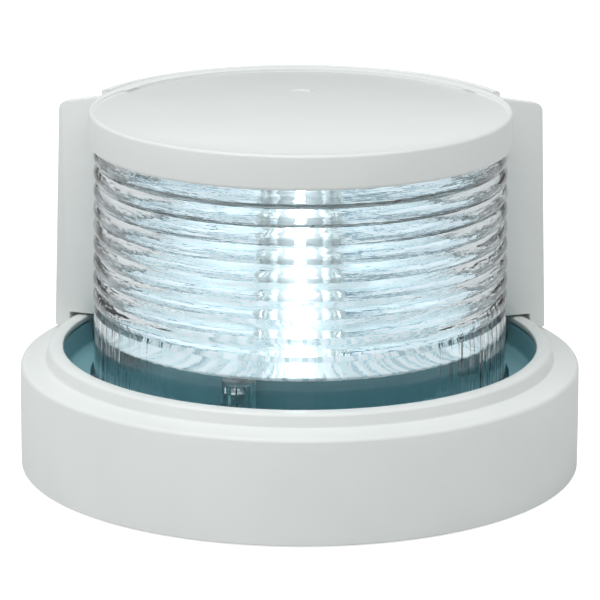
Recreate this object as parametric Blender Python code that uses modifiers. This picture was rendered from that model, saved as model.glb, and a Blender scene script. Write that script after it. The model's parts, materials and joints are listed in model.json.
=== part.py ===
"""Masthead navigation light for a small craft, modelled as the assembly that leaves the bench.

A white drop-over cover (ring and rear screen) stands round a clear ribbed lens with a white cap.
Inside are a lit post with three LED strips, a white tray and an inner screen, and below them, in
the blue-grey base, the driver board. Metres, +Z up. The origin is the centre of the underside,
and the bow, where the light shines, is towards -Y.
"""

import math

import bmesh
import bpy
from mathutils import Matrix

# Fineness of the solids.
TURN_STEPS = 40        # facets round the large turned pieces
SMALL_STEPS = 16       # facets round seats, posts and board parts
SCREW_STEPS = 12       # facets round screws and their holes
ARC_STEPS = 2          # facets in one rounded corner of a profile
COVER_STEPS = 48       # facets round the cover ring
SCREEN_STEPS = 18      # facets along the rear screen's arc

# Clearances.
GAP = 0.0003           # between pieces that touch
RUNNING_GAP = 0.0004   # round a screw in its hole, and between nested round pieces

# The arc of a masthead light: 112.5 degrees to each side of dead ahead.
CUT_OFF = math.radians(22.5)      # how far abaft the beam the light stops

# Driving sizes in plan: the lens, then everything outside it, ring by ring.
LENS_BASE_RADIUS = 0.0393
LENS_DRAFT = 0.0006
LENS_WALL = 0.0029
TRENCH_WIDTH = 0.0050
TRENCH_DRAFT = 0.0005
TRENCH_WALL = 0.0018
RIM_WALL = 0.0016
LEDGE_WIDTH = 0.0049

# Driving heights.
CAP_TOP_Z = 0.0685
CAP_HEIGHT = 0.0065
LEDGE_Z = 0.0200       # outer edge of the cover ring's ledge
LEDGE_RISE = 0.0006
RIM_HEIGHT = 0.0034
DECK_DROP = 0.0022     # from the ledge down to the deck and the trench floor
DECK_THICKNESS = 0.0032

# Mounting gasket and base body.
GASKET_HEIGHT = 0.0015
GASKET_INSET = 0.0004
FLANGE_HEIGHT = 0.0028
FLANGE_PLAY = 0.0007   # between the flange and the skirt of the cover ring
DRUM_WALL = 0.0045
BAY_INSET = 0.0012
PLATE_LEDGE = 0.0015
TRENCH_FLOOR = 0.0024
PEDESTAL_WALL = 0.0016
GROOVE_DEPTH = 0.0020
FIXING_HOLE = 0.00225
FIXING_POCKET = 0.0042
FIXING_ANGLES = [math.radians(a) for a in (-90, 30, 150)]
LEAD_HOLE = 0.0040
LEAD_HOLE_Y = 0.0165

# Bottom plate, its seal, screws and the cable grommet.
PLATE_THICKNESS = 0.0018
PLATE_SEAL_HEIGHT = 0.0008
PLATE_SEAL_WIDTH = 0.0010
PLATE_BOSS = 0.0030
PLATE_SCREW_LENGTH = 0.0085
GROMMET_BORE = 0.0033
GROMMET_BODY = 0.0054
GROMMET_FLANGE = 0.0074
GROMMET_FLANGE_HEIGHT = 0.0012
PEG_RADIUS = 0.0018
PEG_INSET = 0.0038

# Driver board and what stands on it.
BOARD_PLAY = 0.0008
BOARD_THICKNESS = 0.0016
BOARD_HOLE = 0.0082
BOARD_LIFT = 0.0026
BOARD_MARGIN = 0.0034
COIL_RADIUS = 0.0062
COIL_HOLE = 0.0022
COIL_ANGLE = math.radians(18)
CAPACITOR_RADIUS = 0.0040
CAPACITOR_ANGLES = [math.radians(a) for a in (150, 210)]
PART_FILL = 0.84        # height of the tall parts as a share of the space over the board
CHIP_SIZE = (0.0070, 0.0060, 0.0018)
CHIP_ANGLE = math.radians(-35)
TERMINAL_SIZE = (0.0080, 0.0110)
TERMINAL_ANGLE = math.radians(-90)

# Lens.
LENS_INSERT = 0.0004   # how far the lens stands into its groove
RIB_START = 0.0134     # from the deck up to the lowest rib
RIB_COUNT = 9
RIB_DEPTH = 0.0006
NECK_STEP = 0.0016
NECK_WALL = 0.0019
NECK_HEIGHT = 0.0029
LENS_SEAL_WIDTH = 0.0014
POST_RADIUS = 0.0030
POST_INSET = 0.0009
POST_HEIGHT = 0.0072
POST_WEB = 0.0020
LENS_SCREW_ANGLES = [math.radians(a) for a in (-109.6, 10.4, 130.4)]
LENS_SCREW_GRIP = 0.0060          # length of screw inside a post

# Screws.
SCREW_SHANK = 0.0012
SCREW_HEAD = 0.0026
SCREW_HEAD_HEIGHT = 0.0016
SCREW_TOOTH = 0.0004   # how much narrower a moulded hole is cut where the screw bites
RECESS_DEPTH = 0.0008
RECESS_WIDTH = 0.0007

# Tray, LED post, LED strips and inner screen.
TRAY_THICKNESS = 0.0014
COLUMN_RADIUS = 0.0064
COLUMN_FLAT = 0.0056
COLUMN_HEADROOM = 0.0070
FOOT_RADIUS = 0.0110
FOOT_HEIGHT = 0.0020
POST_SCREW_X = 0.0033
POST_SCREW_GRIP = 0.0070
STRIP_ANGLES = {"port": math.radians(-165), "bow": math.radians(-90),
                "starboard": math.radians(-15)}
LED_BOARD_WIDTH = 0.0084
LED_BOARD_THICKNESS = 0.0012
EMITTER_WIDTH = 0.0050
EMITTER_THICKNESS = 0.0008
EMITTER_LENGTH = 0.0270
VANE_THICKNESS = 0.0016
VANE_BEND_RADIUS = 0.0104
LEAD_RADIUS = 0.0007

# Cap and its seal.
CAP_OVERHANG = 0.0010  # how far the cap stands proud of the lens
CAP_RECESS = 0.0005
CAP_LIP = 0.0031
CAP_DISC = 0.0020
CAP_SEAL_HEIGHT = 0.0008

# Cover ring.
COVER_WALL = 0.0015
RIM_DRAFT = 0.0004
RIM_LIP = 0.0012
EDGE_ROUND = 0.0007

# Rear screen.
SCREEN_WALL = 0.0015
SCREEN_DROP = 0.0001   # from the cap's lip down to the top of the screen
SHELF_THICKNESS = 0.0016
SKIRT_INSET = 0.0009
WING_THICKNESS = 0.0019
WING_INSET = 0.0013
WING_DRAFT = 0.0014
WING_SHOULDER = 0.0010
WING_FALL = 0.0020     # from the root of a wing's top edge down to its tip
WING_ROUND = 0.0018
SCREEN_SCREW_ANGLES = [math.radians(a) for a in (45, 90, 135)]
SCREEN_SCREW_SHANK = 0.0008
SCREEN_SCREW_HEAD = 0.0014
SCREEN_SCREW_GRIP = 0.0026

# Heights worked out from the sizes above.
DECK_Z = LEDGE_Z - DECK_DROP
RIM_TOP_Z = LEDGE_Z + RIM_HEIGHT
TRENCH_WALL_Z = RIM_TOP_Z - RIM_LIP - RUNNING_GAP
BASE_Z = GASKET_HEIGHT + GAP
FLANGE_Z = BASE_Z + FLANGE_HEIGHT
FLOOR_Z = DECK_Z - TRENCH_FLOOR   # underside of the trench floor
BAY_TOP_Z = DECK_Z - DECK_THICKNESS
PLATE_Z = BASE_Z + GAP
PLATE_TOP_Z = PLATE_Z + PLATE_THICKNESS
BAY_STEP_Z = PLATE_TOP_Z + PLATE_SEAL_HEIGHT + 2 * GAP
BOARD_Z = PLATE_TOP_Z + BOARD_LIFT + GAP
BOARD_TOP_Z = BOARD_Z + BOARD_THICKNESS
PART_HEIGHT = PART_FILL * (BAY_TOP_Z - BOARD_TOP_Z)
GROOVE_Z = DECK_Z - GROOVE_DEPTH
LENS_Z = DECK_Z - LENS_INSERT
SHOULDER_Z = CAP_TOP_Z - CAP_HEIGHT - GAP
RIB_BOTTOM_Z = DECK_Z + RIB_START
NECK_TOP_Z = SHOULDER_Z + NECK_HEIGHT
POST_Z = DECK_Z + GAP
POST_TOP_Z = POST_Z + POST_HEIGHT
TRAY_Z = POST_TOP_Z + GAP
TRAY_TOP_Z = TRAY_Z + TRAY_THICKNESS
FOOT_TOP_Z = DECK_Z + GAP + FOOT_HEIGHT
DISC_Z = CAP_TOP_Z - CAP_RECESS
CAP_CEILING_Z = DISC_Z - CAP_DISC
COLUMN_TOP_Z = CAP_CEILING_Z - COLUMN_HEADROOM
VANE_Z = TRAY_TOP_Z + GAP
BORE_TOP_Z = SHOULDER_Z - NECK_WALL
VANE_TOP_Z = BORE_TOP_Z - GAP
LEDGE_UNDER_Z = LEDGE_Z - COVER_WALL
SCREEN_TOP_Z = CAP_TOP_Z - SCREEN_DROP
WING_ROOT_Z = SCREEN_TOP_Z - WING_SHOULDER
WING_TIP_Z = WING_ROOT_Z - WING_FALL
SHELF_Z = RIM_TOP_Z + RUNNING_GAP
SHELF_TOP_Z = SHELF_Z + SHELF_THICKNESS
SKIRT_Z = LEDGE_Z + LEDGE_RISE + GAP

# Radii worked out from the sizes above.
LENS_TOP_RADIUS = LENS_BASE_RADIUS - LENS_DRAFT
LENS_BORE = LENS_BASE_RADIUS - LENS_WALL
NECK_RADIUS = LENS_TOP_RADIUS - NECK_STEP
NECK_BORE = NECK_RADIUS - NECK_WALL
GROOVE_OUTER = LENS_BASE_RADIUS + RUNNING_GAP
GROOVE_INNER = LENS_BORE - RUNNING_GAP
TRENCH_RADIUS = LENS_BASE_RADIUS + TRENCH_WIDTH
RIM_INNER = TRENCH_RADIUS + TRENCH_DRAFT
TRENCH_OUTER = TRENCH_RADIUS + TRENCH_WALL
RIM_BORE = TRENCH_OUTER + RUNNING_GAP
RIM_RADIUS = RIM_BORE + RIM_WALL
COVER_RADIUS = RIM_RADIUS + LEDGE_WIDTH
COVER_BORE = COVER_RADIUS - COVER_WALL
FLANGE_RADIUS = COVER_BORE - FLANGE_PLAY
BAY_RADIUS = LENS_BORE - BAY_INSET
BAY_STEP_RADIUS = BAY_RADIUS + PLATE_LEDGE
DRUM_RADIUS = BAY_RADIUS + DRUM_WALL
PLATE_RADIUS = BAY_STEP_RADIUS - RUNNING_GAP
GASKET_RADIUS = FLANGE_RADIUS - GASKET_INSET
GASKET_BORE = BAY_STEP_RADIUS + GASKET_INSET
FIXING_CIRCLE = (DRUM_RADIUS + FLANGE_RADIUS) / 2
PLATE_SCREW_CIRCLE = BAY_RADIUS - PLATE_BOSS - 2 * GAP
PLATE_SCREW_ANGLES = [a + math.radians(60) for a in LENS_SCREW_ANGLES]
BOARD_RADIUS = PLATE_SCREW_CIRCLE - PLATE_BOSS - BOARD_PLAY
PEG_CIRCLE = BOARD_RADIUS - PEG_INSET
POST_CIRCLE = LENS_BORE - POST_RADIUS - POST_INSET
PEDESTAL_RADIUS = POST_CIRCLE - POST_RADIUS - 2 * GAP
TRAY_RADIUS = LENS_BORE - RUNNING_GAP
STRIP_FACE = COLUMN_FLAT + GAP + LED_BOARD_THICKNESS
TRAY_HOLE = math.hypot(STRIP_FACE, LED_BOARD_WIDTH / 2) + RUNNING_GAP
CAP_RADIUS = LENS_TOP_RADIUS + CAP_OVERHANG
CAP_BORE = NECK_RADIUS + RUNNING_GAP
SCREEN_INNER = CAP_RADIUS + RUNNING_GAP
SCREEN_OUTER = SCREEN_INNER + SCREEN_WALL
SKIRT_INNER = RIM_RADIUS + RUNNING_GAP
SKIRT_RADIUS = COVER_RADIUS - SKIRT_INSET
SCREEN_SCREW_CIRCLE = (SKIRT_INNER + COVER_BORE) / 2
WING_FOOT_RADIUS = COVER_RADIUS - WING_INSET
WING_TOP_RADIUS = WING_FOOT_RADIUS - WING_DRAFT


def clear_scene():
    for obj in list(bpy.data.objects):
        bpy.data.objects.remove(obj, do_unlink=True)


def new_collection(name, hidden=False):
    collection = bpy.data.collections.new(name)
    collection.hide_render = hidden
    bpy.context.scene.collection.children.link(collection)
    return collection


def principled(name, colour, roughness, metallic=0.0, transmission=0.0, emission=0.0):
    material = bpy.data.materials.new(name)
    material.use_nodes = True
    shader = material.node_tree.nodes["Principled BSDF"]
    shader.inputs["Base Color"].default_value = (*colour, 1.0)
    shader.inputs["Roughness"].default_value = roughness
    shader.inputs["Metallic"].default_value = metallic
    shader.inputs["Transmission Weight"].default_value = transmission
    shader.inputs["Emission Color"].default_value = (*colour, 1.0)
    shader.inputs["Emission Strength"].default_value = emission
    material.diffuse_color = (*colour, 1.0)
    return material


def polar(radius, angle, z=0.0):
    return (radius * math.cos(angle), radius * math.sin(angle), z)


def place(name, bm, material=None, smooth=False):
    """Make the bmesh an object: a part when it has a material, and a cutter when it has none."""
    mesh = bpy.data.meshes.new(name)
    bmesh.ops.recalc_face_normals(bm, faces=bm.faces)
    bm.to_mesh(mesh)
    bm.free()
    obj = bpy.data.objects.new(name, mesh)
    if material is None:
        CUTTERS.objects.link(obj)
        obj.hide_render = True
        obj.display_type = "WIRE"
        return obj
    PARTS.objects.link(obj)
    mesh.materials.append(material)
    if smooth:
        mesh.shade_smooth()
        mesh.set_sharp_from_angle(angle=math.radians(40))
    return obj


def rounded(corners):
    """Turn a list of (r, z) or (r, z, radius) corners into points, with an arc at each radius."""
    points = []
    for index, corner in enumerate(corners):
        if len(corner) == 2:
            points.append(corner)
            continue
        r, z, radius = corner
        before, after = corners[index - 1], corners[(index + 1) % len(corners)]
        one = math.atan2(before[1] - z, before[0] - r)
        two = math.atan2(after[1] - z, after[0] - r)
        turn = (two - one + math.pi) % (2 * math.pi) - math.pi
        reach = radius / math.tan(abs(turn) / 2)
        middle = one + turn / 2
        depth = radius / math.sin(abs(turn) / 2)
        centre = (r + depth * math.cos(middle), z + depth * math.sin(middle))
        first = (r + reach * math.cos(one) - centre[0], z + reach * math.sin(one) - centre[1])
        last = (r + reach * math.cos(two) - centre[0], z + reach * math.sin(two) - centre[1])
        start = math.atan2(first[1], first[0])
        sweep = (math.atan2(last[1], last[0]) - start + math.pi) % (2 * math.pi) - math.pi
        for step in range(ARC_STEPS + 1):
            angle = start + sweep * step / ARC_STEPS
            points.append((centre[0] + radius * math.cos(angle), centre[1] + radius * math.sin(angle)))
    return points


def turned(name, corners, material=None, steps=TURN_STEPS, ring=True):
    """Turn a profile about Z. A ring's profile is a closed loop; any other starts and ends on the axis."""
    points = rounded(corners)
    bm = bmesh.new()
    verts = [bm.verts.new((r, 0.0, z)) for r, z in points]
    for one, two in zip(verts, verts[1:]):
        bm.edges.new((one, two))
    if ring:
        bm.edges.new((verts[-1], verts[0]))
    obj = place(name, bm, material)
    screw = obj.modifiers.new("turn", "SCREW")
    screw.steps = steps
    screw.render_steps = steps
    screw.use_merge_vertices = True
    screw.merge_threshold = 0.00001
    screw.use_smooth_shade = False
    return obj


def cylinder(name, radius, low, high, at=(0.0, 0.0), material=None, steps=SMALL_STEPS):
    bm = bmesh.new()
    bmesh.ops.create_cone(bm, cap_ends=True, segments=steps, radius1=radius, radius2=radius,
                          depth=high - low)
    bmesh.ops.translate(bm, verts=bm.verts, vec=(at[0], at[1], (low + high) / 2))
    return place(name, bm, material, smooth=material is not None)


def block(name, low, high, angle=0.0, material=None):
    """A box between two corners, turned about Z afterwards."""
    bm = bmesh.new()
    bmesh.ops.create_cube(bm, size=1.0)
    size = [b - a for a, b in zip(low, high)]
    bmesh.ops.scale(bm, verts=bm.verts, vec=size)
    bmesh.ops.translate(bm, verts=bm.verts, vec=[(a + b) / 2 for a, b in zip(low, high)])
    bmesh.ops.rotate(bm, verts=bm.verts, cent=(0, 0, 0), matrix=Matrix.Rotation(angle, 3, "Z"))
    return place(name, bm, material)


def sector(name, corners, start, end, steps, material=None):
    """A solid swept from one angle to another about Z, with its ends closed."""
    bm = bmesh.new()
    verts = [bm.verts.new(polar(r, start, z)) for r, z in rounded(corners)]
    face = bm.faces.new(verts)
    bmesh.ops.spin(bm, geom=[face, *face.edges, *face.verts], cent=(0, 0, 0), axis=(0, 0, 1),
                   angle=end - start, steps=steps, use_duplicate=False)
    return place(name, bm, material)


def plate(name, corners, angle, thickness, behind, material=None):
    """An upright plate on a radial line. Its face on the line looks ahead, its body is behind it."""
    bm = bmesh.new()
    offset = thickness * behind
    side = (-math.sin(angle) * offset, math.cos(angle) * offset, 0.0)
    face = bm.faces.new([bm.verts.new(polar(r, angle, z)) for r, z in rounded(corners)])
    new = bmesh.ops.extrude_face_region(bm, geom=[face])["geom"]
    bmesh.ops.translate(bm, verts=[v for v in new if isinstance(v, bmesh.types.BMVert)], vec=side)
    return place(name, bm, material)


def combine(target, other, operation):
    boolean = target.modifiers.new(f"{operation.lower()} {other.name}", "BOOLEAN")
    boolean.operation = operation
    boolean.solver = "EXACT"
    boolean.object = other


def cut(target, other):
    combine(target, other, "DIFFERENCE")


def join(target, other):
    combine(target, other, "UNION")


def screw_bore(target, name, at, low, high, radius):
    cut(target, cylinder(name, radius, low, high, at, steps=SCREW_STEPS))


def pan_screw(name, at, head_low, shank_top, shank=SCREW_SHANK, head=SCREW_HEAD, recess=True):
    """A pan-head screw that points up, with a cross recess in the head under it."""
    head_top = head_low + SCREW_HEAD_HEIGHT
    obj = turned(name, [(0.0, shank_top), (shank / 2, shank_top), (shank, shank_top - shank),
                        (shank, head_top), (head, head_top), (head, head_low, 0.0005),
                        (0.0, head_low)], STEEL, steps=SCREW_STEPS, ring=False)
    obj.location = (at[0], at[1], 0.0)
    if not recess:
        return
    half = RECESS_WIDTH / 2
    for way, x, y in (("across", 0.6 * head, half), ("along", half, 0.6 * head)):
        slot = block(f"{name}_recess_{way}", (-x, -y, head_low - RECESS_DEPTH),
                     (x, y, head_low + RECESS_DEPTH))
        slot.location = obj.location
        cut(obj, slot)


def make_gasket():
    gasket = turned("mounting_gasket", [(GASKET_RADIUS, GASKET_HEIGHT), (GASKET_RADIUS, 0.0),
                                        (GASKET_BORE, 0.0), (GASKET_BORE, GASKET_HEIGHT)], RUBBER)
    for index, angle in enumerate(FIXING_ANGLES):
        cut(gasket, cylinder(f"gasket_hole_{index + 1}", FIXING_HOLE, -GAP, GASKET_HEIGHT + GAP,
                             polar(FIXING_CIRCLE, angle)))


def make_base_body():
    """Flange, drum and trench in one moulding, with the deck that carries lens and LED post."""
    pedestal_bore, pedestal_z = PEDESTAL_RADIUS - PEDESTAL_WALL, TRAY_Z - GAP
    body = turned("base_body", [
        (0.0, DECK_Z), (pedestal_bore, DECK_Z), (pedestal_bore, pedestal_z),
        (PEDESTAL_RADIUS, pedestal_z), (PEDESTAL_RADIUS, DECK_Z), (GROOVE_INNER, DECK_Z), (GROOVE_INNER, GROOVE_Z), (GROOVE_OUTER, GROOVE_Z),
        (GROOVE_OUTER, DECK_Z), (TRENCH_RADIUS, DECK_Z, 0.0006), (RIM_INNER, TRENCH_WALL_Z),
        (TRENCH_OUTER, TRENCH_WALL_Z), (TRENCH_OUTER, FLOOR_Z, 0.0012), (DRUM_RADIUS, FLOOR_Z),
        (DRUM_RADIUS, FLANGE_Z), (FLANGE_RADIUS, FLANGE_Z), (FLANGE_RADIUS, BASE_Z),
        (BAY_STEP_RADIUS, BASE_Z), (BAY_STEP_RADIUS, BAY_STEP_Z), (BAY_RADIUS, BAY_STEP_Z),
        (BAY_RADIUS, BAY_TOP_Z), (0.0, BAY_TOP_Z)], TEAL, ring=False)
    for index, angle in enumerate(PLATE_SCREW_ANGLES):
        join(body, block(f"plate_boss_{index + 1}",
                         (PLATE_SCREW_CIRCLE - PLATE_BOSS, -PLATE_BOSS, BAY_STEP_Z),
                         (BAY_RADIUS + GAP, PLATE_BOSS, BAY_TOP_Z + GAP), angle))
        screw_bore(body, f"plate_screw_bore_{index + 1}", polar(PLATE_SCREW_CIRCLE, angle),
                   BAY_STEP_Z - GAP, PLATE_Z + PLATE_SCREW_LENGTH + GAP, SCREW_SHANK + SCREW_TOOTH)
    for index, angle in enumerate(LENS_SCREW_ANGLES):
        screw_bore(body, f"lens_screw_hole_{index + 1}", polar(POST_CIRCLE, angle),
                   BAY_TOP_Z - GAP, DECK_Z + GAP, SCREW_SHANK + SCREW_TOOTH)
    for side in (-1, 1):
        screw_bore(body, f"post_screw_hole_{side}", (side * POST_SCREW_X, 0.0),
                   BAY_TOP_Z - GAP, DECK_Z + GAP, SCREW_SHANK + SCREW_TOOTH)
    for index, angle in enumerate(FIXING_ANGLES):
        at = polar(FIXING_CIRCLE, angle)
        cut(body, cylinder(f"fixing_pocket_{index + 1}", FIXING_POCKET, FLANGE_Z - GAP,
                           TRENCH_WALL_Z + GAP, at))
        cut(body, cylinder(f"fixing_hole_{index + 1}", FIXING_HOLE, BASE_Z - GAP,
                           FLANGE_Z + GAP, at))
    cut(body, cylinder("lead_hole", LEAD_HOLE, BAY_TOP_Z - GAP, DECK_Z + GAP, (0.0, LEAD_HOLE_Y)))


def make_bottom_plate():
    bottom = turned("bottom_plate", [
        (PLATE_RADIUS, PLATE_TOP_Z), (PLATE_RADIUS, PLATE_Z),
        (GROMMET_BODY + RUNNING_GAP, PLATE_Z), (GROMMET_BODY + RUNNING_GAP, PLATE_TOP_Z)], WHITE)
    for index, angle in enumerate(PLATE_SCREW_ANGLES):
        at = polar(PLATE_SCREW_CIRCLE, angle)
        screw_bore(bottom, f"plate_hole_{index + 1}", at, PLATE_Z - GAP, PLATE_TOP_Z + GAP,
                   SCREW_SHANK + RUNNING_GAP)
        join(bottom, cylinder(f"board_peg_{index + 1}", PEG_RADIUS, PLATE_Z + GAP, BOARD_Z - GAP,
                              polar(PEG_CIRCLE, angle), steps=SCREW_STEPS))
        pan_screw(f"plate_screw_{index + 1}", at, PLATE_Z - GAP - SCREW_HEAD_HEIGHT,
                  PLATE_Z + PLATE_SCREW_LENGTH)
    seal_bore, seal_z = PLATE_RADIUS - PLATE_SEAL_WIDTH, PLATE_TOP_Z + GAP
    seal_top = seal_z + PLATE_SEAL_HEIGHT
    turned("plate_seal", [(PLATE_RADIUS, seal_top), (PLATE_RADIUS, seal_z),
                          (seal_bore, seal_z), (seal_bore, seal_top)], RUBBER)
    upper, lower = PLATE_TOP_Z + GAP, PLATE_Z - GAP
    turned("cable_grommet", [
        (GROMMET_FLANGE, upper + GROMMET_FLANGE_HEIGHT), (GROMMET_FLANGE, upper),
        (GROMMET_BODY, upper), (GROMMET_BODY, lower), (GROMMET_FLANGE, lower),
        (GROMMET_FLANGE, lower - GROMMET_FLANGE_HEIGHT),
        (GROMMET_BORE, lower - GROMMET_FLANGE_HEIGHT),
        (GROMMET_BORE, upper + GROMMET_FLANGE_HEIGHT)], RUBBER, steps=SMALL_STEPS)


def board_block(name, size, angle, material):
    """A part at the edge of the driver board: its depth along the radius, width across, height."""
    depth, width, height = size
    outer, low = BOARD_RADIUS - BOARD_MARGIN, BOARD_TOP_Z + GAP
    block(name, (outer - depth, -width / 2, low), (outer, width / 2, low + height), angle, material)


def board_can(name, radius, angle, material):
    at = polar(BOARD_RADIUS - BOARD_MARGIN - radius, angle)
    low = BOARD_TOP_Z + GAP
    return cylinder(name, radius, low, low + PART_HEIGHT, at, material), at


def make_driver():
    """The driver board on its pegs, with the parts of a small switching supply."""
    turned("driver_board", [(BOARD_RADIUS, BOARD_TOP_Z), (BOARD_RADIUS, BOARD_Z),
                            (BOARD_HOLE, BOARD_Z), (BOARD_HOLE, BOARD_TOP_Z)], BOARD)
    coil, at = board_can("choke_coil", COIL_RADIUS, COIL_ANGLE, COPPER)
    top = BOARD_TOP_Z + GAP + PART_HEIGHT
    cut(coil, cylinder("coil_hole", COIL_HOLE, top - PART_HEIGHT / 2, top + GAP, at))
    for index, angle in enumerate(CAPACITOR_ANGLES):
        board_can(f"capacitor_{index + 1}", CAPACITOR_RADIUS, angle, ALUMINIUM)
    board_block("driver_chip", CHIP_SIZE, CHIP_ANGLE, BLACK)
    board_block("supply_terminal", (*TERMINAL_SIZE, PART_HEIGHT), TERMINAL_ANGLE, NYLON)


def lens_outline():
    """Points down the outside of the lens: sharp ribs over a plain skirt."""
    pitch = (SHOULDER_Z - RIB_BOTTOM_Z) / RIB_COUNT
    slope = LENS_DRAFT / (SHOULDER_Z - LENS_Z)
    points = []
    for index in range(RIB_COUNT):
        valley, crest = SHOULDER_Z - index * pitch, SHOULDER_Z - (index + 0.5) * pitch
        points.append((LENS_TOP_RADIUS + slope * (SHOULDER_Z - valley) - RIB_DEPTH, valley))
        points.append((LENS_TOP_RADIUS + slope * (SHOULDER_Z - crest), crest))
    points.append((LENS_BASE_RADIUS - slope * (RIB_BOTTOM_Z - LENS_Z), RIB_BOTTOM_Z))
    return points + [(LENS_BASE_RADIUS, LENS_Z)]


def make_lens():
    """A clear drum: a ribbed wall, a neck for the cap and three posts for the lens screws."""
    lens = turned("lens", [(NECK_BORE, NECK_TOP_Z), (NECK_RADIUS, NECK_TOP_Z),
                           (NECK_RADIUS, SHOULDER_Z)] + lens_outline()
                  + [(LENS_BORE, LENS_Z), (LENS_BORE, BORE_TOP_Z)], CLEAR)
    for index, angle in enumerate(LENS_SCREW_ANGLES):
        at = polar(POST_CIRCLE, angle)
        join(lens, cylinder(f"lens_post_{index + 1}", POST_RADIUS, POST_Z, POST_TOP_Z, at))
        join(lens, block(f"lens_web_{index + 1}", (POST_CIRCLE, -POST_WEB / 2, POST_Z + 2 * GAP),
                         (LENS_BORE + GAP, POST_WEB / 2, POST_TOP_Z - 2 * GAP), angle))
        screw_bore(lens, f"post_bore_{index + 1}", at, POST_Z - GAP, POST_Z + LENS_SCREW_GRIP + GAP,
                   SCREW_SHANK + SCREW_TOOTH)
        pan_screw(f"lens_screw_{index + 1}", at, BAY_TOP_Z - GAP - SCREW_HEAD_HEIGHT,
                  POST_Z + LENS_SCREW_GRIP)
    middle = (GROOVE_INNER + GROOVE_OUTER) / 2
    inner, outer = middle - LENS_SEAL_WIDTH / 2, middle + LENS_SEAL_WIDTH / 2
    turned("lens_seal", [(outer, LENS_Z - GAP), (outer, GROOVE_Z + GAP),
                         (inner, GROOVE_Z + GAP), (inner, LENS_Z - GAP)], RUBBER)


def make_led_post():
    """The aluminium post with three flats, the two screws under it, and the LED strips on it."""
    post = turned("led_post", [(0.0, COLUMN_TOP_Z), (COLUMN_RADIUS, COLUMN_TOP_Z),
                               (COLUMN_RADIUS, FOOT_TOP_Z), (FOOT_RADIUS, FOOT_TOP_Z),
                               (FOOT_RADIUS, DECK_Z + GAP), (0.0, DECK_Z + GAP)],
                  ALUMINIUM, steps=24, ring=False)
    emitter_z = (TRAY_TOP_Z + COLUMN_TOP_Z - EMITTER_LENGTH) / 2
    emitter_face = STRIP_FACE + GAP
    for name, angle in STRIP_ANGLES.items():
        cut(post, block(f"post_flat_{name}", (COLUMN_FLAT, -COLUMN_RADIUS, FOOT_TOP_Z),
                        (2 * COLUMN_RADIUS, COLUMN_RADIUS, COLUMN_TOP_Z + GAP), angle))
        block(f"led_board_{name}", (COLUMN_FLAT + GAP, -LED_BOARD_WIDTH / 2, FOOT_TOP_Z + GAP),
              (STRIP_FACE, LED_BOARD_WIDTH / 2, COLUMN_TOP_Z), angle, BOARD)
        block(f"led_strip_{name}", (emitter_face, -EMITTER_WIDTH / 2, emitter_z),
              (emitter_face + EMITTER_THICKNESS, EMITTER_WIDTH / 2, emitter_z + EMITTER_LENGTH),
              angle, LED)
    for index, side in enumerate((-1, 1)):
        at = (side * POST_SCREW_X, 0.0)
        top = DECK_Z + GAP + POST_SCREW_GRIP
        screw_bore(post, f"post_bore_{side}", at, DECK_Z, top + GAP, SCREW_SHANK + SCREW_TOOTH)
        pan_screw(f"post_screw_{index + 1}", at, BAY_TOP_Z - GAP - SCREW_HEAD_HEIGHT, top)


def make_tray():
    """The white tray under the light and the inner screen that stands on it, open to the bow."""
    turned("led_tray", [(TRAY_RADIUS, TRAY_TOP_Z), (TRAY_RADIUS, TRAY_Z), (TRAY_HOLE, TRAY_Z),
                        (TRAY_HOLE, TRAY_TOP_Z)], WHITE)
    bend_inner = VANE_BEND_RADIUS - VANE_THICKNESS
    embed = VANE_THICKNESS / 2 / VANE_BEND_RADIUS
    screen = sector("inner_screen", [(bend_inner, VANE_TOP_Z), (VANE_BEND_RADIUS, VANE_TOP_Z),
                                     (VANE_BEND_RADIUS, VANE_Z), (bend_inner, VANE_Z)],
                    CUT_OFF + embed, math.pi - CUT_OFF - embed, 8, WHITE)
    inner, low, high = bend_inner + GAP / 2, VANE_Z + GAP / 2, VANE_TOP_Z + GAP / 2
    for name, angle, behind in (("starboard", CUT_OFF, 1), ("port", math.pi - CUT_OFF, -1)):
        join(screen, plate(f"inner_vane_{name}", [(inner, high), (TRAY_RADIUS, high),
                                                  (TRAY_RADIUS, low), (inner, low)],
                           angle, VANE_THICKNESS, behind))


def make_leads():
    """Two short leads from the driver board, through the deck, to the outer LED boards."""
    solder = STRIP_FACE + GAP + LEAD_RADIUS
    for name, strip, side, material in (("red", "starboard", 1, RED), ("black", "port", -1, BLACK)):
        end = polar(solder, STRIP_ANGLES[strip])
        route = [(side * 0.0016, LEAD_HOLE_Y, BOARD_TOP_Z + GAP),
                 (side * 0.0016, LEAD_HOLE_Y, DECK_Z),
                 (side * 0.0034, LEAD_HOLE_Y - 0.0015, FOOT_TOP_Z + 0.0009),
                 (side * 0.0072, LEAD_HOLE_Y - 0.0060, FOOT_TOP_Z + 0.0019),
                 (side * 0.0098, LEAD_HOLE_Y - 0.0120, FOOT_TOP_Z + 0.0021),
                 (end[0], end[1], FOOT_TOP_Z + 0.0021)]
        data = bpy.data.curves.new(f"lead_wire_{name}", "CURVE")
        data.dimensions = "3D"
        data.bevel_depth = LEAD_RADIUS
        data.bevel_resolution = 2
        data.use_fill_caps = True
        spline = data.splines.new("POLY")
        spline.points.add(len(route) - 1)
        for point, place_at in zip(spline.points, route):
            point.co = (*place_at, 1.0)
        data.materials.append(material)
        PARTS.objects.link(bpy.data.objects.new(f"lead_wire_{name}", data))


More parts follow.
